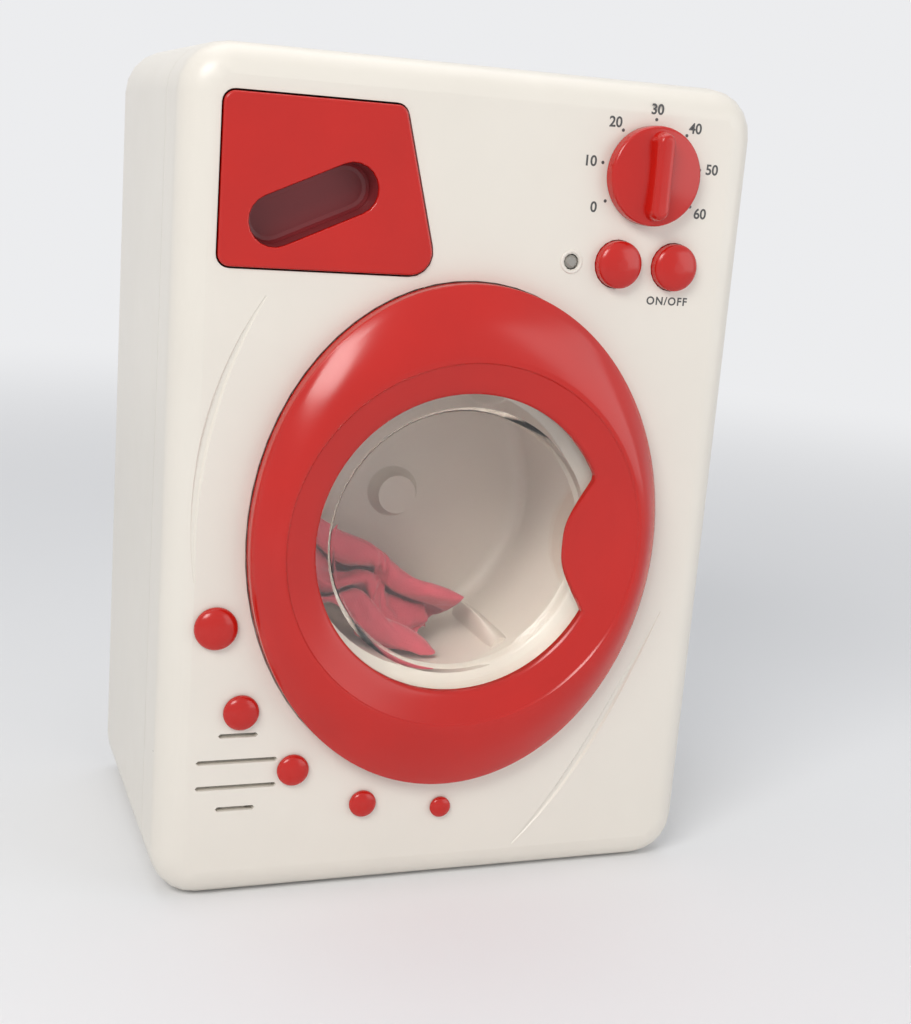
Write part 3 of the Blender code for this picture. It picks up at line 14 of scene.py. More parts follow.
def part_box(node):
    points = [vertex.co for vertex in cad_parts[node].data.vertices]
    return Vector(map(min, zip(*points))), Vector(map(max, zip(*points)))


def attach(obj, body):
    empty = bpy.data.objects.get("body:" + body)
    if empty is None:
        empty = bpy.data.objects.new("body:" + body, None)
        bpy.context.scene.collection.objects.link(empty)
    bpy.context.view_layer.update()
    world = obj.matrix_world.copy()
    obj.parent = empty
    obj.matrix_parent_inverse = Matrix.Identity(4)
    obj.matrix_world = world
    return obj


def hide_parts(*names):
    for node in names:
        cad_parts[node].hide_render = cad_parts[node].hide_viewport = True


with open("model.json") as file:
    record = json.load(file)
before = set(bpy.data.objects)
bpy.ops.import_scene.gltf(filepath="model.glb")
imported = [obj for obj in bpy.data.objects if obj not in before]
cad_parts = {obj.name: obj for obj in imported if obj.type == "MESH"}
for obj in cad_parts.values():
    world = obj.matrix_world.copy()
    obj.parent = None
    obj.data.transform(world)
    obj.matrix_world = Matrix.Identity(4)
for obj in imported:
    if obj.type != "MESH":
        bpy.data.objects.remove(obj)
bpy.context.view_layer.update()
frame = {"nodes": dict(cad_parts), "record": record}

mm = 0.001
tau = 2 * math.pi
quarter = math.pi / 2

# Places read from the frame
body_depth = 100 * mm
front_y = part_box("rear_housing")[1].y - body_depth
ring_low, ring_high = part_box("door_ring")
door_y = (ring_low.z + ring_high.z) / 2
door_half_width = (ring_high.x - ring_low.x) / 2
door_half_height = (ring_high.z - ring_low.z) / 2
door_centre = (0.0, door_y)


def centre_of(node):
    """Middle of a node's box, on the drawing plane."""
    low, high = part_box(node)
    return (low.x + high.x) / 2, (low.z + high.z) / 2


knob_centre = centre_of("dial_knob")
button_centres = {name: centre_of(name) for name in ("left_button", "right_button")}
lamp_centre = centre_of("indicator_lamp")
stud_names = sorted(name for name in frame["nodes"] if name.startswith("accent_stud"))
to_world = Matrix.Translation((0.0, front_y, 0.0)) @ Matrix.Rotation(quarter, 4, "X")

# Door ring and pane
door_stand = 11 * mm
door_rim = 4.8 * mm
door_skin = 1.8 * mm
edge_round = 0.8 * mm
window_radius = 42 * mm
window_lip = 1.8 * mm
window_stand = 7.5 * mm
crest_radius = 51 * mm
crest_fillet = 0.45 * mm
crest_step = 0.55 * mm
tongue_reach = 12.2 * mm
tongue_drop = 1.6 * mm
tongue_middle = math.radians(-0.5)
tongue_half = math.radians(27.5)
tongue_fullness = 2.6
ring_segments = 192
slope_steps = 12
band_steps = 4
pane_rings = (0.25, 0.5, 0.75)
pane_stand = 5 * mm
pane_thickness = 1.6 * mm
pane_gap = 0.3 * mm
pane_flange = 48.4 * mm
pane_step = 37 * mm
pane_step_width = 1.3 * mm
pane_step_depth = 3 * mm
pane_fillet = 0.45 * mm
pane_screw_radius = 46.4 * mm
pane_boss = 1.9 * mm
hinge_inset = 5 * mm
hinge_stand = 3.4 * mm
knuckle_half = 8.7 * mm
knuckle_radius = 1.9 * mm
latch_inset = 5.5 * mm
latch_half_thickness = 1 * mm
latch_half_width = 5 * mm
latch_end = -6 * mm

# Drum
drum_front = -12.3 * mm
drum_wall = 1.8 * mm
drum_radius = 45.8 * mm
drum_depth = 49 * mm
drum_lip_radius = 42.6 * mm
drum_flange = 47.2 * mm
drum_lip = 1.6 * mm
drum_lip_slope = 0.7
drum_cove = 5 * mm
drum_hub = 6 * mm
drum_hub_length = 4 * mm
drum_boss_height = 5 * mm
drum_boss_radius = 8 * mm
drum_boss_flare = (0.15, 0.5, 1.0)
drum_segments = 96
lifter_count = 3
lifter_height = 7 * mm
lifter_base = 7 * mm
lifter_crown = 2.4 * mm
lifter_margin = 5 * mm
lifter_steps = 8
lifter_end_share = 0.25
laundry_angle = math.radians(-118)

# Controls
knob_gap = 0.3 * mm
knob_radius = 13.4 * mm
knob_height = 5 * mm
knob_round = 1 * mm
knob_crown = 1.2 * mm
grip_half_length = 12 * mm
grip_half_width = 3.1 * mm
grip_height = 8.6 * mm
grip_taper = 0.9 * mm
# How many tapers the grip is narrower near its top, and how far below the top that is
grip_round = ((0.4, 2 * grip_taper), (0.75, grip_taper), (1.15, grip_taper / 2.5),
              (1.7, grip_taper / 9), (2.4, 0.0))
knob_shaft = 3 * mm
panel_back = -2.2 * mm
button_radius = 6.5 * mm
button_stand = 2 * mm
button_dome = 2.2 * mm
button_flange = 8 * mm
button_flange_top = -2.5 * mm
button_flange_thickness = 1.4 * mm
button_stem = 2.4 * mm
button_stem_end = -7.4 * mm
stud_base = 0.3 * mm
stud_skirt = 0.5 * mm
stud_dome_share = 0.42
stud_stem = 1.5 * mm
stud_stem_end = -3.4 * mm
dome_steps = 9
round_segments = 72
collar_inner = 2.35 * mm
collar_width = 0.9 * mm
collar_rise = 0.35 * mm
felt_radius = 11.6 * mm
felt_gap = 0.05 * mm
felt_thickness = 0.15 * mm

# Drawer front
drawer_low, drawer_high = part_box("drawer_front")
drawer_bottom_width = 58.5 * mm
drawer_top_width = 47 * mm
drawer_small_corner = 3 * mm
drawer_large_corner = 6 * mm
drawer_stand = 1 * mm
drawer_thickness = 3 * mm
drawer_round = 0.7 * mm
slot_left = (14.1 * mm, 12 * mm)
slot_right = (34.3 * mm, 21.2 * mm)
slot_radius = 6.7 * mm
slot_depth = 7 * mm
slot_wall = 1 * mm
slot_lip_steps = 3
# The bend between the slot's wall and its floor, as insets and heights
slot_bend = ((slot_wall / 3, slot_wall), (slot_wall, slot_wall / 4), (2 * slot_wall, 0.0))
# Thickness and floor inset of the painted shade sheets in the slot
shade_sheet_thickness = 0.12 * mm
shade_floor_inset = 1.8 * slot_wall
corner_steps = 10
round_steps = 4

# Lettering
ink_height = 0.03 * mm
tick_radius = 15 * mm
tick_dot = 0.45 * mm
tick_count = 7
tick_step = math.radians(40)
tick_value = 10
number_reach = (18.8 * mm, 18 * mm)
number_drop = 0.4 * mm
number_size = 3.9 * mm
number_weight_share = 0.022
switch_label_drop = 9.6 * mm
switch_label_shift = -0.6 * mm
switch_label_size = 3.1 * mm
switch_label_spread = 1.18

# Cloth in the drum: its cut and weave, the place it falls to and the pleats it starts in
cloth_width = 58 * mm
cloth_length = 122 * mm
cloth_skin = 0.35 * mm
cloth_across = 36
cloth_along = 78
cloth_frames = 45
weave_patch = 3 * mm
heap_front = -17 * mm
heap_back = -50 * mm
heap_radius = 43.5 * mm
heap_start = 13 * mm
heap_shift = -4 * mm
pleats = 2.5
pleat_tilt = 1.9
pleat_tilt_change = 0.18
pleat_phase = 0.9
pleat_drift = 0.9
pleat_sway = 6
pleat_sway_shift = 1
crease_height = 0.8 * mm
crease_waves = (14, 7)
sim_scale = 10.0
earth_gravity = 9.81

# Finishes
smooth_angle = math.radians(32)
weld_distance = 0.002 * mm
tint_stops = (0.3, 0.7)
smear_fineness = 2.6
brushed_stretch = (1.0, 12.0, 1.0)
pane_index = 1.16

# Stage
backdrop_colour = (0.84, 0.845, 0.86)
floor_half = 8.0
floor_near = 0.25
floor_far = 1.1
sky_colour = (0.95, 0.97, 1.0)
sky_strength = 0.42
white = (1.0, 1.0, 1.0)
warm_white = (1.0, 0.98, 0.95)

# Lamps: name, place, size, power and colour
lamps = (
    ("key", (-0.6, -0.68, 0.8), (0.5, 0.4), 6.3, warm_white),
    ("fill", (0.7, -0.6, 0.35), (0.7, 0.6), 1.8, white),
    ("top", (0.0, 0.1, 0.95), (0.8, 0.6), 2.2, white),
)

# Camera: its place in window radii from the window's centre, and its turns in radians
camera_place = (-3.51982, -9.23998, 2.48050)
camera_yaw = 0.36203
camera_pitch = 0.22815
camera_roll = 0.07931
camera_near = 0.01
focal_pixels = 1542.4
photo_height = 1024
sensor_height = 36


def quarter_turns(steps):
    """Angles from 0 to a quarter turn, both included."""
    return [quarter * i / steps for i in range(steps + 1)]


# Outlines, each a list of (x, y) points that runs anticlockwise
def circle(radius, segments, centre=(0.0, 0.0)):
    """Points of a circle."""
    return [(centre[0] + radius * math.cos(tau * i / segments),
             centre[1] + radius * math.sin(tau * i / segments)) for i in range(segments)]


def arc(centre, radius, start, end, steps):
    """Points along an arc, both ends included."""
    points = []
    for i in range(steps + 1):
        angle = start + (end - start) * i / steps
        points.append((centre[0] + radius * math.cos(angle), centre[1] + radius * math.sin(angle)))
    return points


def rounded_box(left, right, bottom, top, radius, steps):
    """A rectangle with round corners."""
    corners = ((right - radius, bottom + radius), (right - radius, top - radius),
               (left + radius, top - radius), (left + radius, bottom + radius))
    points = []
    for i, corner in enumerate(corners):
        points += arc(corner, radius, (i - 1) * quarter, i * quarter, steps)
    return points


def rounded_polygon(corners, radii):
    """A convex polygon, given anticlockwise, with each corner rounded by its radius."""
    points = []
    count = len(corners)
    for i in range(count):
        corner = Vector(corners[i])
        before = (Vector(corners[i - 1]) - corner).normalized()
        after = (Vector(corners[(i + 1) % count]) - corner).normalized()
        half = before.angle(after) / 2
        centre = corner + (before + after).normalized() * radii[i] / math.sin(half)
        start = math.atan2(*reversed(corner + before * radii[i] / math.tan(half) - centre))
        points += arc(centre, radii[i], start, start + math.pi - 2 * half, corner_steps)
    return points


def offset_polygon(corners, distance):
    """The same convex polygon with each side moved outwards by a distance."""
    moved = []
    count = len(corners)
    for i in range(count):
        corner = Vector(corners[i])
        before = (corner - Vector(corners[i - 1])).normalized()
        after = (Vector(corners[(i + 1) % count]) - corner).normalized()
        bisector = Vector((before.y, -before.x)) + Vector((after.y, -after.x))
        moved.append(tuple(corner + bisector * distance * 2 / bisector.length_squared))
    return moved


def stadium(start, end, radius):
    """A slot with round ends between two centres."""
    along = math.atan2(end[1] - start[1], end[0] - start[0])
    return arc(end, radius, along - quarter, along + quarter, corner_steps) + arc(
        start, radius, along + quarter, along + 3 * quarter, corner_steps)


# Solids
def add_object(name, data):
    """A new object with this data, in the scene."""
    item = bpy.data.objects.new(name, data)
    bpy.context.scene.collection.objects.link(item)
    return item


def ring_at(outline, height):
    """An outline lifted to a height."""
    return [Vector((x, y, height)) for x, y in outline]


def stadium_rows(ends, profile):
    """Rings round two centres, from a profile of (radius, height) points."""
    return [ring_at(stadium(*ends, radius), height) for radius, height in profile]


def loft(rings, tube=False):
    """A closed skin through rings of equal count. A tube's last ring meets its first."""
    bm = bmesh.new()
    rows = [[bm.verts.new(point) for point in ring] for ring in rings]
    pairs = list(zip(rows, rows[1:]))
    if tube:
        pairs.append((rows[-1], rows[0]))
    for lower, upper in pairs:
        for i in range(len(lower)):
            j = (i + 1) % len(lower)
            bm.faces.new((lower[i], lower[j], upper[j], upper[i]))
    if not tube:
        bm.faces.new(rows[0])
        bm.faces.new(rows[-1])
    bmesh.ops.recalc_face_normals(bm, faces=bm.faces)
    return bm


def prism(outline, low, high):
    """An outline extruded between two heights."""
    return loft([ring_at(outline, low), ring_at(outline, high)])


def turned(profile, segments, centre=(0.0, 0.0), tube=False):
    """A profile of (radius, height) points turned about a centre."""
    rings = [ring_at(circle(radius, segments, centre), height) for radius, height in profile]
    return loft(rings, tube)


def mesh_of(shape, name="shape"):
    """A mesh made from a shape, which is freed."""
    mesh = bpy.data.meshes.new(name)
    shape.to_mesh(mesh)
    shape.free()
    return mesh


def combine(target, shapes, operation):
    """Cuts or joins shapes with a shape by an exact Boolean, and gives the result."""
    together = bmesh.new()
    for shape in shapes:
        mesh = mesh_of(shape)
        together.from_mesh(mesh)
        bpy.data.meshes.remove(mesh)
    objects = [add_object("shape", mesh_of(shape)) for shape in (target, together)]
    modifier = objects[0].modifiers.new("combine", "BOOLEAN")
    modifier.operation = operation
    modifier.solver = "EXACT"
    modifier.object = objects[1]
    result = bmesh.new()
    result.from_object(objects[0], bpy.context.evaluated_depsgraph_get())
    for item in objects:
        mesh = item.data
        bpy.data.objects.remove(item)
        bpy.data.meshes.remove(mesh)
    return result


def cut(target, shapes):
    """The target less the shapes."""
    return combine(target, shapes, "DIFFERENCE")


def join(target, shapes):
    """The target with the shapes grown onto it."""
    return combine(target, shapes, "UNION")


# Materials
def link(tree, a, b):
    """Joins two sockets."""
    tree.links.new(a, b)


def node_of(tree, kind):
    """The tree's first node of a type."""
    return next(node for node in tree.nodes if node.type == kind)


def noise_node(tree, coordinates, scale, detail=3.0):
    """A noise texture on the object's own coordinates."""
    node = tree.nodes.new("ShaderNodeTexNoise")
    node.inputs["Scale"].default_value = scale
    node.inputs["Detail"].default_value = detail
    link(tree, coordinates, node.inputs["Vector"])
    return node


def surface(name, colour, roughness, metallic=0.0, tint_share=0.03, roughness_spread=0.05,
            grain=1400.0, grain_depth=0.02 * mm, cloud=45.0, strength=0.25):
    """A Principled material whose colour, gloss and fine grain vary a little over the surface."""
    made = bpy.data.materials.new(name)
    made.use_nodes = True
    tree = made.node_tree
    shader = tree.nodes["Principled BSDF"]
    coordinates = tree.nodes.new("ShaderNodeTexCoord").outputs["Object"]
    clouds = noise_node(tree, coordinates, cloud)
    ramp = tree.nodes.new("ShaderNodeValToRGB")
    tints = (1 - tint_share, 1 + tint_share)
    for stop, position, tint in zip(ramp.color_ramp.elements, tint_stops, tints):
        stop.position = position
        stop.color = (*[min(1.0, c * tint) for c in colour], 1.0)
    link(tree, clouds.outputs["Fac"], ramp.inputs["Fac"])
    link(tree, ramp.outputs["Color"], shader.inputs["Base Color"])
    gloss = tree.nodes.new("ShaderNodeMapRange")
    gloss.inputs["To Min"].default_value = roughness - roughness_spread
    gloss.inputs["To Max"].default_value = roughness + roughness_spread
    smears = noise_node(tree, coordinates, cloud * smear_fineness, detail=5.0)
    link(tree, smears.outputs["Fac"], gloss.inputs["Value"])
    link(tree, gloss.outputs["Result"], shader.inputs["Roughness"])
    fine = noise_node(tree, coordinates, grain, detail=2.0)
    fine.name = "grain"
    bump = tree.nodes.new("ShaderNodeBump")
    bump.inputs["Strength"].default_value = strength
    bump.inputs["Distance"].default_value = grain_depth
    link(tree, fine.outputs["Fac"], bump.inputs["Height"])
    link(tree, bump.outputs["Normal"], shader.inputs["Normal"])
    shader.inputs["Metallic"].default_value = metallic
    return made


def brushed(name, colour, roughness):
    """Plated metal with fine lines along one way."""
    made = surface(name, colour, roughness, metallic=1.0, grain=900.0, grain_depth=0.01 * mm)
    tree = made.node_tree
    mapping = tree.nodes.new("ShaderNodeMapping")
    mapping.inputs["Scale"].default_value = brushed_stretch
    link(tree, node_of(tree, "TEX_COORD").outputs["Object"], mapping.inputs["Vector"])
    link(tree, mapping.outputs["Vector"], tree.nodes["grain"].inputs["Vector"])
    return made


def clear_surface(name, colour):
    """Clear moulded plastic with faint smears in its gloss. Lamp light passes straight through."""
    made = surface(name, colour, 0.06, tint_share=0.01, roughness_spread=0.03, grain=60.0,
                   grain_depth=0.05 * mm, cloud=25.0, strength=0.04)
    shader = made.node_tree.nodes["Principled BSDF"]
    shader.inputs["Transmission Weight"].default_value = 1.0
    shader.inputs["IOR"].default_value = pane_index
    shader.inputs["Coat Weight"].default_value = 1.0
    shader.inputs["Coat Roughness"].default_value = 0.04
    tree = made.node_tree
    through = tree.nodes.new("ShaderNodeBsdfTransparent")
    through.inputs["Color"].default_value = (*colour, 1.0)
    path = tree.nodes.new("ShaderNodeLightPath")
    mix = tree.nodes.new("ShaderNodeMixShader")
    link(tree, path.outputs["Is Shadow Ray"], mix.inputs["Fac"])
    link(tree, shader.outputs["BSDF"], mix.inputs[1])
    link(tree, through.outputs["BSDF"], mix.inputs[2])
    link(tree, mix.outputs["Shader"], tree.nodes["Material Output"].inputs["Surface"])
    return made


def woven(name, colour):
    """Thin cloth with crossing threads and a soft sheen."""
    made = surface(name, colour, 0.82, tint_share=0.12, roughness_spread=0.06, cloud=60.0)
    tree = made.node_tree
    uv = tree.nodes.new("ShaderNodeUVMap").outputs["UV"]
    threads = tree.nodes.new("ShaderNodeMath")
    threads.operation = "ADD"
    for i, direction in enumerate("XY"):
        wave = tree.nodes.new("ShaderNodeTexWave")
        wave.bands_direction = direction
        wave.inputs["Scale"].default_value = cloth_width / weave_patch
        link(tree, uv, wave.inputs["Vector"])
        link(tree, wave.outputs["Fac"], threads.inputs[i])
    bump = node_of(tree, "BUMP")
    bump.inputs["Distance"].default_value = 0.08 * mm
    bump.inputs["Strength"].default_value = 0.5
    link(tree, threads.outputs["Value"], bump.inputs["Height"])
    tree.nodes["Principled BSDF"].inputs["Sheen Weight"].default_value = 0.35
    return made


finishes = {
    "cabinet_plastic": surface("cream_plastic", (0.80, 0.755, 0.68), 0.3, tint_share=0.012),
    "red_plastic": surface("red_plastic", (0.53, 0.010, 0.005), 0.2, tint_share=0.04,
                           roughness_spread=0.04),
    "clear_plastic": clear_surface("clear_plastic", (0.95, 0.94, 0.92)),
    "drum_plastic": surface("drum_plastic", (0.80, 0.73, 0.66), 0.38, tint_share=0.02),
    "gear_plastic": surface("white_nylon", (0.78, 0.78, 0.76), 0.45),
    "dark_plastic": surface("dark_plastic", (0.035, 0.035, 0.04), 0.5, tint_share=0.1),
    "circuit_board": surface("circuit_board", (0.03, 0.19, 0.08), 0.4, tint_share=0.15, cloud=300.0),
    "lamp_lens": surface("lamp_lens", (0.32, 0.31, 0.28), 0.15, tint_share=0.05),
    "cell_wrap": surface("cell_wrap", (0.05, 0.05, 0.06), 0.3, tint_share=0.1),
    "laundry_cloth": woven("laundry_cloth", (0.64, 0.075, 0.11)),
    "steel": brushed("steel", (0.62, 0.62, 0.63), 0.3),
    "brass": brushed("brass", (0.72, 0.53, 0.24), 0.33),
}
ink = surface("printed_ink", (0.075, 0.075, 0.075), 0.45, tint_share=0.15, cloud=900.0)
# Dark maroon painted shade for the inside of the drawer's finger slot.
slot_shade_paint = surface("painted_slot_shade", (0.21, 0.022, 0.026), 0.35, tint_share=0.08)
felt = surface("felt", (0.52, 0.50, 0.46), 0.9, tint_share=0.1, cloud=800.0)


# Pieces
def weight_normals(item):
    """Keeps flat faces flat beside rounded edges."""
    item.modifiers.new("weighted", "WEIGHTED_NORMAL").keep_sharp = True


def add_piece(name, shape, finish, body, stands_for=()):
    """Makes a piece from a shape on the drawing plane, smooths it and ties it to its body."""
    bmesh.ops.transform(shape, matrix=to_world, verts=shape.verts)
    mesh = mesh_of(shape, name)
    mesh.shade_smooth()
    mesh.set_sharp_from_angle(angle=smooth_angle)
    mesh.materials.append(finish)
    item = add_object(name, mesh)
    weight_normals(item)
    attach(item, body)
    if stands_for:
        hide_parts(*stands_for)


def smoothing_group():
    """Node group that welds a carried-over solid and shades it smooth except at its real edges."""
    tree = bpy.data.node_groups.new("smooth_by_angle", "GeometryNodeTree")
    tree.interface.new_socket("Geometry", in_out="INPUT", socket_type="NodeSocketGeometry")
    tree.interface.new_socket("Geometry", in_out="OUTPUT", socket_type="NodeSocketGeometry")
    start = tree.nodes.new("NodeGroupInput")
    weld = tree.nodes.new("GeometryNodeMergeByDistance")
    weld.inputs["Distance"].default_value = weld_distance
    soft = tree.nodes.new("GeometryNodeSetShadeSmooth")
    soft.domain = "FACE"
    edge = tree.nodes.new("GeometryNodeInputMeshEdgeAngle")
    over = tree.nodes.new("ShaderNodeMath")
    over.operation = "GREATER_THAN"
    over.inputs[1].default_value = smooth_angle
    hard = tree.nodes.new("GeometryNodeSetShadeSmooth")
    hard.domain = "EDGE"
    hard.inputs["Shade Smooth"].default_value = False
    end = tree.nodes.new("NodeGroupOutput")
    link(tree, start.outputs[0], weld.inputs["Geometry"])
    link(tree, weld.outputs["Geometry"], soft.inputs["Geometry"])
    link(tree, soft.outputs["Geometry"], hard.inputs["Geometry"])
    link(tree, edge.outputs["Unsigned Angle"], over.inputs[0])
    link(tree, over.outputs["Value"], hard.inputs["Selection"])
    link(tree, hard.outputs["Geometry"], end.inputs[0])
    return tree


def dress_solids():
    """Gives every carried-over solid its finish and smooth shading."""
    slots = {entry["node"]: entry["material_slot"] for entry in frame["record"]["subparts"]}
    group = smoothing_group()
    for name, item in frame["nodes"].items():
        for material_slot in item.material_slots:
            material_slot.material = finishes[slots[name]]
        item.modifiers.new("smooth", "NODES").node_group = group
        weight_normals(item)


# Door
def tongue_at(angle):
    """How far the finger tongue reaches into the window at an angle, from 0 to 1."""
    turn = (angle - tongue_middle + math.pi) % tau - math.pi
    if abs(turn) >= tongue_half:
        return 0.0
    return 1 - abs(turn / tongue_half) ** tongue_fullness


def oval_row(share, height, inset=0.0):
    """A ring of the door part of the way from its oval edge to its round crest."""
    row = []
    for i in range(ring_segments):
        across = Vector((math.cos(tau * i / ring_segments), math.sin(tau * i / ring_segments)))
        edge = Vector(((door_half_width - inset) * across.x, (door_half_height - inset) * across.y))
        spot = edge.lerp(across * crest_radius, share)
        row.append(Vector((spot.x, spot.y + door_y, height)))
    return row


def window_row(radius, height, drop_share):
    """A ring near the window's edge, which the tongue pushes inwards and lowers."""
    row = []
    for i in range(ring_segments):
        angle = tau * i / ring_segments
        tongue = tongue_at(angle)
        reach = radius - tongue_reach * tongue
        row.append(Vector((reach * math.cos(angle), reach * math.sin(angle) + door_y,
                           height - tongue_drop * drop_share * tongue)))
    return row


def slope_height(share):
    """Height of the door's convex slope, part of the way from its rim to its crest."""
    return door_rim + (door_stand - door_rim) * math.sin(quarter * share)


def screw_places():
    """Centres of the four screws that hold the pane."""
    return [(pane_screw_radius * math.cos(angle), door_y + pane_screw_radius * math.sin(angle))
            for angle in (quarter / 2 + quarter * i for i in range(4))]


def make_ring():
    """The oval red ring with its convex slope, crest line, finger tongue, knuckle and latch."""
    pane_front = pane_stand + pane_gap
    rows = [oval_row(0.0, 0.0)]
    for turn in quarter_turns(round_steps):
        rows.append(oval_row(0.0, door_rim - edge_round * (1 - math.sin(turn)),
                             edge_round * (1 - math.cos(turn)) / 2))
    rows += [oval_row(step / slope_steps, slope_height(step / slope_steps))
             for step in range(1, slope_steps)]
    crest_share = crest_fillet / (door_half_width - crest_radius)
    rows += [oval_row(1 - crest_share, door_stand), oval_row(1.0, door_stand - crest_fillet / 6)]
    band_outer = crest_radius - crest_fillet
    band_high = door_stand - crest_step
    band_inner = window_radius + window_lip
    band_low = window_stand + edge_round
    rows.append(ring_at(circle(crest_radius - crest_fillet / 2, ring_segments, door_centre),
                        door_stand - crest_step / 2))
    for step in range(band_steps + 1):
        share = step / band_steps
        radius = band_outer + (band_inner - band_outer) * share
        height = band_high + (band_low - band_high) * share
        rows.append(ring_at(circle(radius, ring_segments, door_centre), height))
    rows += [
        window_row(window_radius + window_lip / 2, window_stand + edge_round / 2, 1.0),
        window_row(window_radius + edge_round / 2, window_stand + edge_round / 6, 1.0),
        window_row(window_radius, window_stand - edge_round / 2, 1.0),
        window_row(window_radius, pane_front, 0.0),
        ring_at(circle(band_inner, ring_segments, door_centre), pane_front),
        ring_at(circle(crest_radius, ring_segments, door_centre), door_stand - door_skin),
        oval_row(0.5, slope_height(0.5) - door_skin),
        oval_row(0.0, door_rim - edge_round, door_skin),
        oval_row(0.0, 0.0, door_skin),
    ]
    ring = loft(rows, tube=True)
    hinge_x = hinge_inset - door_half_width
    foot = door_rim + door_skin
    outline = [(hinge_x + knuckle_radius, foot), (hinge_x - knuckle_radius, foot)]
    outline += arc((hinge_x, hinge_stand), knuckle_radius, math.pi, tau, corner_steps)
    knuckle = loft([[Vector((x, door_y + side * knuckle_half, z)) for x, z in outline]
                    for side in (-1, 1)])
    latch_x = door_half_width - latch_inset
    tab = prism(rounded_box(latch_x - latch_half_thickness, latch_x + latch_half_thickness,
                            door_y - latch_half_width, door_y + latch_half_width,
                            latch_half_thickness / 2, round_steps), latch_end, slope_height(0.5))
    bosses = [turned([(pane_boss, pane_front), (pane_boss, window_stand)], round_segments // 3, spot)
              for spot in screw_places()]
    add_piece("ring_skin", join(ring, [knuckle, tab] + bosses), finishes["red_plastic"], "door",
              ["door_ring"])


def fillet(outer, inner, height, depth):
    """Profile points of a rounded step down from a flat face."""
    return [(outer - (outer - inner) * math.sin(turn), height - depth * (1 - math.cos(turn)))
            for turn in quarter_turns(round_steps)]


def make_pane():
    """The clear pane, dished inside its flange by one rounded step."""
    top = pane_stand
    low = pane_stand - pane_step_depth
    inner = pane_step - pane_step_width
    back = pane_stand - pane_thickness
    shift = pane_thickness / 2
    profile = [(inner * share, low) for share in (*pane_rings, 0.95)]
    profile.append((inner, low + pane_fillet / 4))
    profile += reversed(fillet(pane_step + pane_fillet, inner + pane_fillet, top, pane_fillet))
    profile += [(pane_flange - pane_fillet, top), (pane_flange, top - pane_fillet),
                (pane_flange, back), (pane_step + shift, back),
                (inner + shift, low - pane_thickness + pane_fillet),
                (inner, low - pane_thickness)]
    profile += [(inner * share, low - pane_thickness) for share in reversed(pane_rings)]
    add_piece("window_pane", turned(profile, ring_segments // 2, door_centre),
              finishes["clear_plastic"], "door", ["door_window"])


# Drum
def lifter(angle, inner, ends):
    """One of the ribs that lift the washing, which swells between its ends."""
    out = Vector((math.cos(angle), math.sin(angle), 0.0))
    side = Vector((-out.y, out.x, 0.0))
    rings = []
    for step in range(lifter_steps + 1):
        share = step / lifter_steps
        depth = ends[0] + (ends[1] - ends[0]) * share
        swell = lifter_end_share + (1 - lifter_end_share) * math.sin(math.pi * share) ** 0.5
        height = lifter_height * swell
        ring = []
        for across in range(-lifter_steps, lifter_steps + 1):
            t = across / lifter_steps
            half = lifter_base / 2 + (lifter_crown - lifter_base) / 2 * (1 - abs(t)) ** 0.5
            rise = math.sqrt(max(0.0, 1 - t * t))
            radius = inner + drum_wall / 2 - (height + drum_wall / 2) * rise
            spot = Vector((*door_centre, 0.0)) + out * radius + side * (half * t)
            ring.append(Vector((spot.x, spot.y, depth)))
        rings.append(ring)
    return loft(rings)


def make_drum():
    """The round tub with a rolled lip, a coved floor, lifters and its hub."""
    floor = drum_front - drum_depth + drum_wall
    inner = drum_radius - drum_wall
    profile = [(drum_hub, floor + drum_boss_height)]
    for share in drum_boss_flare:
        profile.append((drum_hub + (drum_boss_radius - drum_hub) * share,
                        floor + drum_boss_height * (1 - share) ** 2))
    for turn in quarter_turns(round_steps * 2):
        profile.append((inner - drum_cove + drum_cove * math.sin(turn),
                        floor + drum_cove - drum_cove * math.cos(turn)))
    profile += [
        (inner, drum_front - drum_lip), (drum_lip_radius, drum_front - drum_lip * drum_lip_slope),
        (drum_lip_radius, drum_front - drum_lip / 3), (drum_lip_radius + drum_lip / 3, drum_front),
        (drum_flange - drum_lip / 4, drum_front), (drum_flange, drum_front - drum_lip / 4),
        (drum_flange, drum_front - drum_lip), (drum_radius, drum_front - drum_lip),
        (drum_radius, drum_front - drum_depth + drum_wall), (inner, drum_front - drum_depth),
        (drum_hub, drum_front - drum_depth), (drum_hub, drum_front - drum_depth - drum_hub_length),
    ]
    tub = turned(profile, drum_segments, door_centre)
    ends = (floor + lifter_margin, drum_front - drum_lip - lifter_margin)
    fins = [lifter(laundry_angle + math.pi / lifter_count + tau * i / lifter_count, inner, ends)
            for i in range(lifter_count)]
    add_piece("drum_tub", join(tub, fins), finishes["drum_plastic"], "tub", ["drum"])


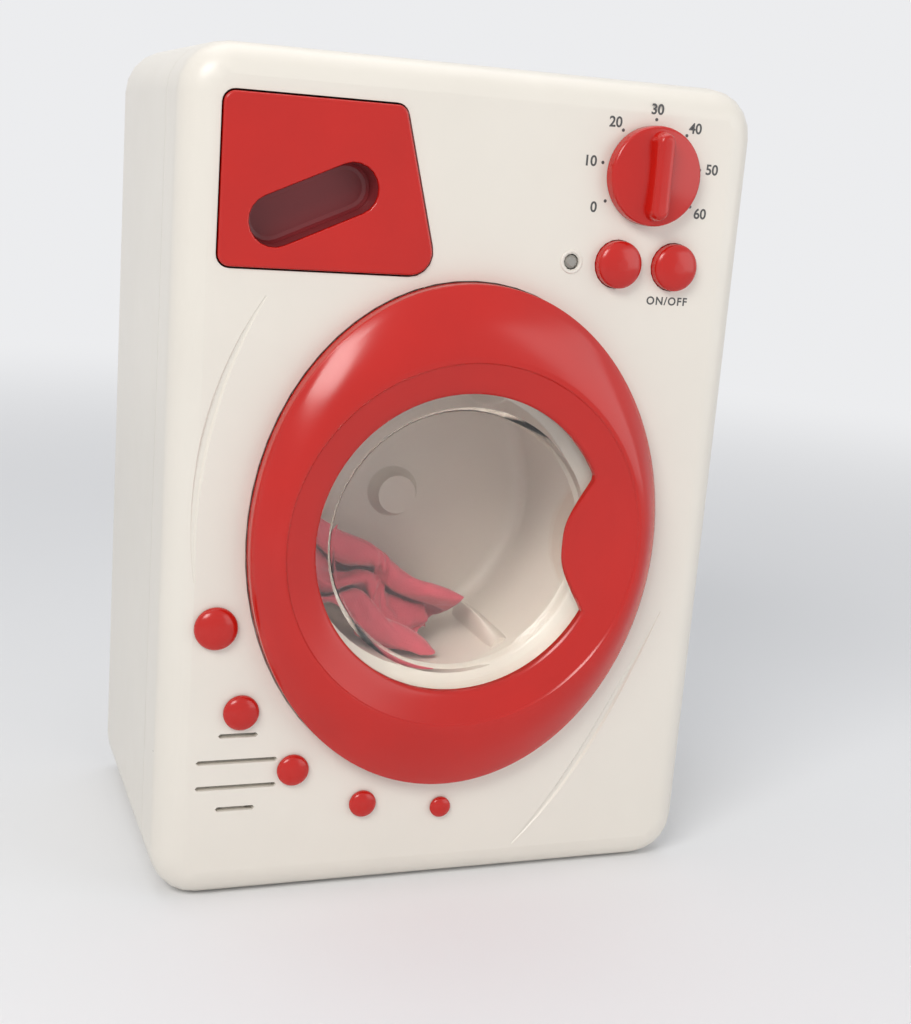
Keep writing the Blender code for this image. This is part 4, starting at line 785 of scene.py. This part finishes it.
# Drawer
def make_drawer_front():
    """The slanted red drawer front with its rounded rim and dished finger slot, with dark sheets of
    painted shade over the slot's wall and floor.
    """
    left = drawer_low.x
    bottom = drawer_low.z
    corners = ((left, bottom), (left + drawer_bottom_width, bottom),
               (left + drawer_top_width, drawer_high.z), (left, drawer_high.z))
    radii = (drawer_small_corner, drawer_large_corner, drawer_small_corner, drawer_small_corner)

    def outline(inset):
        return rounded_polygon(offset_polygon(corners, -inset), [radius - inset for radius in radii])

    back = drawer_stand - drawer_thickness
    rows = [ring_at(outline(0.0), back)]
    for turn in quarter_turns(round_steps):
        rows.append(ring_at(outline(drawer_round * (1 - math.cos(turn))),
                            drawer_stand - drawer_round * (1 - math.sin(turn))))
    ends = [(left + x, bottom + y) for x, y in (slot_left, slot_right)]
    deep = back - slot_depth
    front = join(loft(rows), [prism(stadium(*ends, slot_radius + slot_wall), deep, back / 2)])
    lip = slot_wall / 2
    floor = deep + slot_wall
    bend = [(slot_radius - inset, floor + rise) for inset, rise in slot_bend]
    slot = [(slot_radius + lip, drawer_stand + lip)]
    slot += [(slot_radius + lip * (1 - math.sin(turn)), drawer_stand - lip * (1 - math.cos(turn)))
             for turn in quarter_turns(slot_lip_steps)]
    slot_shape = loft(stadium_rows(ends, slot + bend))
    add_piece("drawer_face", cut(front, [slot_shape]), finishes["red_plastic"], "drawer",
              ["drawer_front"])
    # Painted shade: a thin dark maroon sheet over the slot's wall and a patch on its floor, darkening the
    # recess.
    wall = [(slot_radius, drawer_stand - slot_wall)] + bend
    shade_sheet_back = [(radius - shade_sheet_thickness, height + shade_sheet_thickness) for radius, height in reversed(wall)]
    add_piece("painted_slot_wall_shade", loft(stadium_rows(ends, wall + shade_sheet_back), tube=True), slot_shade_paint, "drawer")
    floor_shade_patch = stadium(*ends, slot_radius - shade_floor_inset)
    add_piece("painted_slot_floor_shade", prism(floor_shade_patch, floor + shade_sheet_thickness / 2, floor + shade_sheet_thickness), slot_shade_paint, "drawer")


# Controls
def make_knob():
    """The round knob with a rolled rim, a shallow crown and its upright grip."""
    top = knob_gap + knob_height
    rim = top - knob_crown
    profile = [(knob_radius, knob_gap)]
    for turn in quarter_turns(round_steps):
        profile.append((knob_radius - knob_round * (1 - math.cos(turn)),
                        rim - knob_round * (1 - math.sin(turn))))
    for step in range(1, slope_steps):
        share = step / slope_steps
        profile.append(((knob_radius - knob_round) * (1 - share),
                        rim + knob_crown * math.sin(quarter * share)))
    disc = turned(profile, round_segments, knob_centre)
    x, y = knob_centre
    half = grip_half_length - grip_half_width
    grip_top = knob_gap + grip_height
    levels = [(-0.5, knob_gap + knob_height / 2), (0.0, rim), (0.15, top)]
    levels += [(tapers, grip_top - drop) for tapers, drop in grip_round]
    profile = [(grip_half_width - grip_taper * tapers, height) for tapers, height in levels]
    grip = loft(stadium_rows(((x, y - half), (x, y + half)), profile))
    shaft = turned([(knob_shaft, panel_back - knob_gap), (knob_shaft, knob_gap + knob_round)],
                   round_segments // 2, knob_centre)
    add_piece("knob_skin", join(disc, [grip, shaft]), finishes["red_plastic"], "knob",
              ["dial_knob"])


def dome(radius, base, rise):
    """Profile points from a wall's top over a dome."""
    return [(radius * math.cos(turn), base + rise * math.sin(turn))
            for turn in quarter_turns(dome_steps)[:-1]]


def make_buttons():
    """The two domed push buttons with their flanges and stems."""
    low = button_flange_top - button_flange_thickness
    profile = [(button_stem, button_stem_end), (button_stem, low), (button_flange, low),
               (button_flange, button_flange_top), (button_radius, button_flange_top)]
    profile += dome(button_radius, button_stand, button_dome)
    for name, key in (("left_button", "left_key"), ("right_button", "right_key")):
        add_piece(name + "_skin", turned(profile, round_segments, button_centres[name]),
                  finishes["red_plastic"], key, [name])


def make_studs():
    """The red studs that run in an arc under the door."""
    for name in stud_names:
        low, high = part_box(name)
        radius = (high.x - low.x) / 2
        profile = [(stud_stem, stud_stem_end), (stud_stem, stud_base), (radius, stud_base)]
        profile += dome(radius, stud_base + stud_skirt, radius * stud_dome_share)
        add_piece(name + "_skin", turned(profile, round_segments, centre_of(name)),
                  finishes["red_plastic"], "cabinet", [name])


def make_lamp_collar():
    """A low pale collar moulded round the indicator light."""
    profile = [(collar_inner, -collar_rise)]
    for step in range(2 * round_steps + 1):
        turn = math.pi * step / (2 * round_steps)
        profile.append((collar_inner + collar_width * (1 - math.cos(turn)) / 2,
                        collar_rise * math.sin(turn)))
    profile.append((collar_inner + collar_width, -collar_rise))
    add_piece("lamp_collar", turned(profile, round_segments, lamp_centre, tube=True),
              finishes["cabinet_plastic"], "cabinet")


# Lettering
def make_text(name, words, size, centre, spread=1.0):
    """Printed words, centred at a spot of the panel.

    They are set at unit size and then scaled, because the offset spoils letters set this small.
    """
    curve = bpy.data.curves.new(name, "FONT")
    curve.body = words
    curve.space_character = spread
    curve.align_x = "CENTER"
    curve.align_y = "CENTER"
    curve.offset = number_weight_share
    curve.extrude = ink_height / 2 / size
    curve.materials.append(ink)
    item = add_object(name, curve)
    item.matrix_world = to_world @ Matrix.Translation((*centre, ink_height)) @ Matrix.Scale(size, 4)
    bpy.context.view_layer.update()
    mesh = bpy.data.meshes.new_from_object(item.evaluated_get(bpy.context.evaluated_depsgraph_get()))
    mesh.transform(item.matrix_world)
    bpy.data.objects.remove(item)
    piece = add_object(name, mesh)
    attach(piece, "cabinet")


def make_speaker_felt():
    """Pale felt behind the speaker's slots."""
    disc = circle(felt_radius, round_segments, centre_of("speaker"))
    top = panel_back - felt_gap
    add_piece("speaker_felt", prism(disc, top - felt_thickness, top), felt, "cabinet")


def make_lettering():
    """The dial's dots and numbers, and ON/OFF under the right button."""
    x, y = knob_centre
    for i in range(tick_count):
        angle = quarter + (tick_count // 2 - i) * tick_step
        across = math.cos(angle)
        up = math.sin(angle)
        dot = circle(tick_dot, round_segments // 3, (x + tick_radius * across, y + tick_radius * up))
        add_piece(f"dial_dot_{i}", prism(dot, 0.0, ink_height), ink, "cabinet")
        spot = (x + number_reach[0] * across, y + number_reach[1] * up - number_drop)
        make_text(f"dial_number_{i}", str(tick_value * i), number_size, spot)
    x, y = button_centres["right_button"]
    spot = (x + switch_label_shift, y - switch_label_drop)
    make_text("switch_label", "ON/OFF", switch_label_size, spot, switch_label_spread)


# Cloth in the drum
def meander(tilt, phase):
    """Points of a winding line as long as the cloth, as its run and rise about its middle."""
    points = [(0.0, 0.0)]
    step = cloth_length / cloth_along
    for i in range(cloth_along):
        slope = tilt * math.sin(tau * pleats * (i + 0.5) / cloth_along + phase)
        run, rise = points[-1]
        points.append((run + step * math.cos(slope), rise + step * math.sin(slope)))
    run_middle = points[-1][0] / 2
    rise_middle = sum(rise for run, rise in points) / len(points)
    return [(run - run_middle, rise - rise_middle) for run, rise in points]


def start_sheet():
    """The cloth in loose pleats over the place where it comes to rest, no part of it stretched."""
    out = Vector((math.cos(laundry_angle), math.sin(laundry_angle), 0.0))
    side = Vector((-out.y, out.x, 0.0))
    middle = (heap_front + heap_back) / 2
    spots = []
    for i in range(cloth_across + 1):
        u = i / cloth_across - 0.5
        tilt = pleat_tilt + pleat_tilt_change * math.sin(pleat_sway * u + pleat_sway_shift)
        phase = pleat_phase + pleat_drift * math.sin(pleat_sway * u)
        for j, (run, rise) in enumerate(meander(tilt, phase)):
            waves = crease_waves[0] * u + crease_waves[1] * j / cloth_along
            crease = crease_height * math.sin(waves)
            spot = side * (heap_shift + u * cloth_width) + out * (heap_start + run + crease)
            spots.append((spot + Vector((0.0, 0.0, middle + rise))) * sim_scale)
    row = cloth_along + 1
    faces = [(i * row + j, i * row + j + 1, (i + 1) * row + j + 1, (i + 1) * row + j)
             for i in range(cloth_across) for j in range(cloth_along)]
    mesh = bpy.data.meshes.new("sheet")
    mesh.from_pydata(spots, [], faces)
    layer = mesh.uv_layers.new(name="UVMap")
    for loop in mesh.loops:
        i, j = divmod(loop.vertex_index, row)
        layer.data[loop.index].uv = (i / cloth_across, j / cloth_along * cloth_length / cloth_width)
    return add_object("sheet", mesh)


def heap_room():
    """The stretch of the tub that the cloth lies in, as a closed room."""
    room = turned([(heap_radius, heap_back), (heap_radius, heap_front)], drum_segments)
    bmesh.ops.scale(room, vec=(sim_scale,) * 3, verts=room.verts)
    bmesh.ops.reverse_faces(room, faces=room.faces)
    return room


def settle(sheet, room):
    """Lets the cloth fall against the tub's wall and gives its settled mesh."""
    scene = bpy.context.scene
    cloth = sheet.modifiers.new("cloth", "CLOTH")
    settings = cloth.settings
    settings.quality = 6
    settings.mass = 0.03
    settings.tension_stiffness = 30
    settings.compression_stiffness = 30
    settings.shear_stiffness = 15
    settings.bending_stiffness = 0.15
    settings.air_damping = 2.0
    collision = cloth.collision_settings
    collision.distance_min = 0.005
    collision.use_self_collision = True
    collision.self_distance_min = 0.005
    collision.collision_quality = 3
    cloth.point_cache.frame_start = 1
    cloth.point_cache.frame_end = cloth_frames
    room.modifiers.new("collision", "COLLISION")
    room.collision.thickness_outer = 0.004
    room.collision.thickness_inner = 0.05
    room.collision.cloth_friction = 15
    gravity = tuple(scene.gravity)
    scene.gravity = (earth_gravity * math.cos(laundry_angle), earth_gravity * math.sin(laundry_angle), 0.0)
    for step in range(1, cloth_frames + 1):
        scene.frame_set(step)
    graph = bpy.context.evaluated_depsgraph_get()
    mesh = bpy.data.meshes.new_from_object(sheet.evaluated_get(graph))
    scene.gravity = gravity
    scene.frame_set(1)
    return mesh


def make_laundry():
    """The red cloth, crumpled against the lower left of the tub by a cloth simulation."""
    room = add_object("heap_room", mesh_of(heap_room()))
    sheet = start_sheet()
    mesh = settle(sheet, room)
    bpy.data.objects.remove(sheet)
    bpy.data.objects.remove(room)
    mesh.transform(to_world @ Matrix.Translation((0.0, door_y, 0.0)) @ Matrix.Scale(1 / sim_scale, 4))
    mesh.materials.clear()
    mesh.materials.append(finishes["laundry_cloth"])
    mesh.shade_smooth()
    piece = add_object("laundry_cloth", mesh)
    skin = piece.modifiers.new("skin", "SOLIDIFY")
    skin.thickness = cloth_skin
    skin.offset = 0.0
    smooth = piece.modifiers.new("smooth", "SUBSURF")
    smooth.levels = 1
    smooth.render_levels = 1
    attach(piece, "tub")
    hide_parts("laundry")


# Stage, light and camera
def seen_directly(tree):
    """1 for the rays that show the background: the camera's, reflected and transmitted ones."""
    path = tree.nodes.new("ShaderNodeLightPath")
    either = path.outputs["Is Camera Ray"]
    for ray in ("Is Glossy Ray", "Is Transmission Ray"):
        most = tree.nodes.new("ShaderNodeMath")
        most.operation = "MAXIMUM"
        link(tree, either, most.inputs[0])
        link(tree, path.outputs[ray], most.inputs[1])
        either = most.outputs["Value"]
    return either


def floor_material():
    """Pale floor that keeps the shadow and fades into the backdrop away from the toy."""
    made = surface("floor", backdrop_colour, 0.7, tint_share=0.003, cloud=3.0)
    tree = made.node_tree
    coordinates = tree.nodes.new("ShaderNodeTexCoord")
    reach = tree.nodes.new("ShaderNodeVectorMath")
    reach.operation = "LENGTH"
    link(tree, coordinates.outputs["Object"], reach.inputs[0])
    fade = tree.nodes.new("ShaderNodeMapRange")
    fade.interpolation_type = "SMOOTHSTEP"
    fade.inputs["From Min"].default_value = floor_near
    fade.inputs["From Max"].default_value = floor_far
    link(tree, reach.outputs["Value"], fade.inputs["Value"])
    share = tree.nodes.new("ShaderNodeMath")
    share.operation = "MULTIPLY"
    link(tree, fade.outputs["Result"], share.inputs[0])
    link(tree, seen_directly(tree), share.inputs[1])
    glow = tree.nodes.new("ShaderNodeEmission")
    glow.inputs["Color"].default_value = (*backdrop_colour, 1.0)
    mix = tree.nodes.new("ShaderNodeMixShader")
    link(tree, share.outputs["Value"], mix.inputs["Fac"])
    link(tree, tree.nodes["Principled BSDF"].outputs["BSDF"], mix.inputs[1])
    link(tree, glow.outputs["Emission"], mix.inputs[2])
    link(tree, mix.outputs["Shader"], tree.nodes["Material Output"].inputs["Surface"])
    return made


def make_stage():
    """A plain pale floor and the light round it."""
    bm = bmesh.new()
    bm.faces.new([bm.verts.new((x * floor_half, y * floor_half, 0.0))
                  for x, y in ((-1, -1), (1, -1), (1, 1), (-1, 1))])
    floor = add_object("floor", mesh_of(bm))
    floor.data.materials.append(floor_material())
    world = bpy.data.worlds.new("studio")
    bpy.context.scene.world = world
    world.use_nodes = True
    tree = world.node_tree
    background = tree.nodes["Background"]
    background.inputs["Color"].default_value = (*sky_colour, 1.0)
    background.inputs["Strength"].default_value = sky_strength
    seen = tree.nodes.new("ShaderNodeBackground")
    seen.inputs["Color"].default_value = (*backdrop_colour, 1.0)
    seen.inputs["Strength"].default_value = 1.0
    mix = tree.nodes.new("ShaderNodeMixShader")
    link(tree, seen_directly(tree), mix.inputs["Fac"])
    link(tree, background.outputs["Background"], mix.inputs[1])
    link(tree, seen.outputs["Background"], mix.inputs[2])
    link(tree, mix.outputs["Shader"], tree.nodes["World Output"].inputs["Surface"])


def make_lamp(name, place, size, power, colour):
    """A soft rectangular lamp aimed at the middle of the toy's door."""
    lamp = bpy.data.lights.new(name, "AREA")
    lamp.shape = "RECTANGLE"
    lamp.size, lamp.size_y = size
    lamp.energy = power
    lamp.color = colour
    item = add_object(name, lamp)
    item.location = place
    target = Vector((0.0, front_y, door_y))
    item.rotation_euler = (target - Vector(place)).to_track_quat("-Z", "Y").to_euler()


def make_camera():
    """The camera that took the photograph, fitted to the toy's window, dial and edges."""
    x, y, z = (window_radius * radii for radii in camera_place)
    place = Vector((x, front_y + y, door_y + z))
    c, s = math.cos(camera_yaw), math.sin(camera_yaw)
    yaw = Matrix(((c, -s, 0.0), (0.0, 0.0, -1.0), (s, c, 0.0)))
    c, s = math.cos(camera_pitch), math.sin(camera_pitch)
    pitch = Matrix(((1.0, 0.0, 0.0), (0.0, c, -s), (0.0, s, c)))
    c, s = math.cos(camera_roll), math.sin(camera_roll)
    roll = Matrix(((c, -s, 0.0), (s, c, 0.0), (0.0, 0.0, 1.0)))
    rows = roll @ pitch @ yaw
    axes = Matrix((rows[0], -rows[1], -rows[2])).transposed()
    camera = bpy.data.cameras.new("camera")
    camera.sensor_fit = "VERTICAL"
    camera.sensor_height = sensor_height
    camera.lens = focal_pixels * sensor_height / photo_height
    camera.clip_start = camera_near
    item = add_object("camera", camera)
    item.matrix_world = Matrix.Translation(place) @ axes.to_4x4()
    bpy.context.scene.camera = item


make_camera()
make_stage()
for lamp in lamps:
    make_lamp(*lamp)
dress_solids()
make_ring()
make_pane()
make_drum()
make_drawer_front()
make_knob()
make_buttons()
make_studs()
make_lamp_collar()
make_speaker_felt()
make_lettering()
make_laundry()

bpy.context.scene.view_settings.view_transform = "Standard"
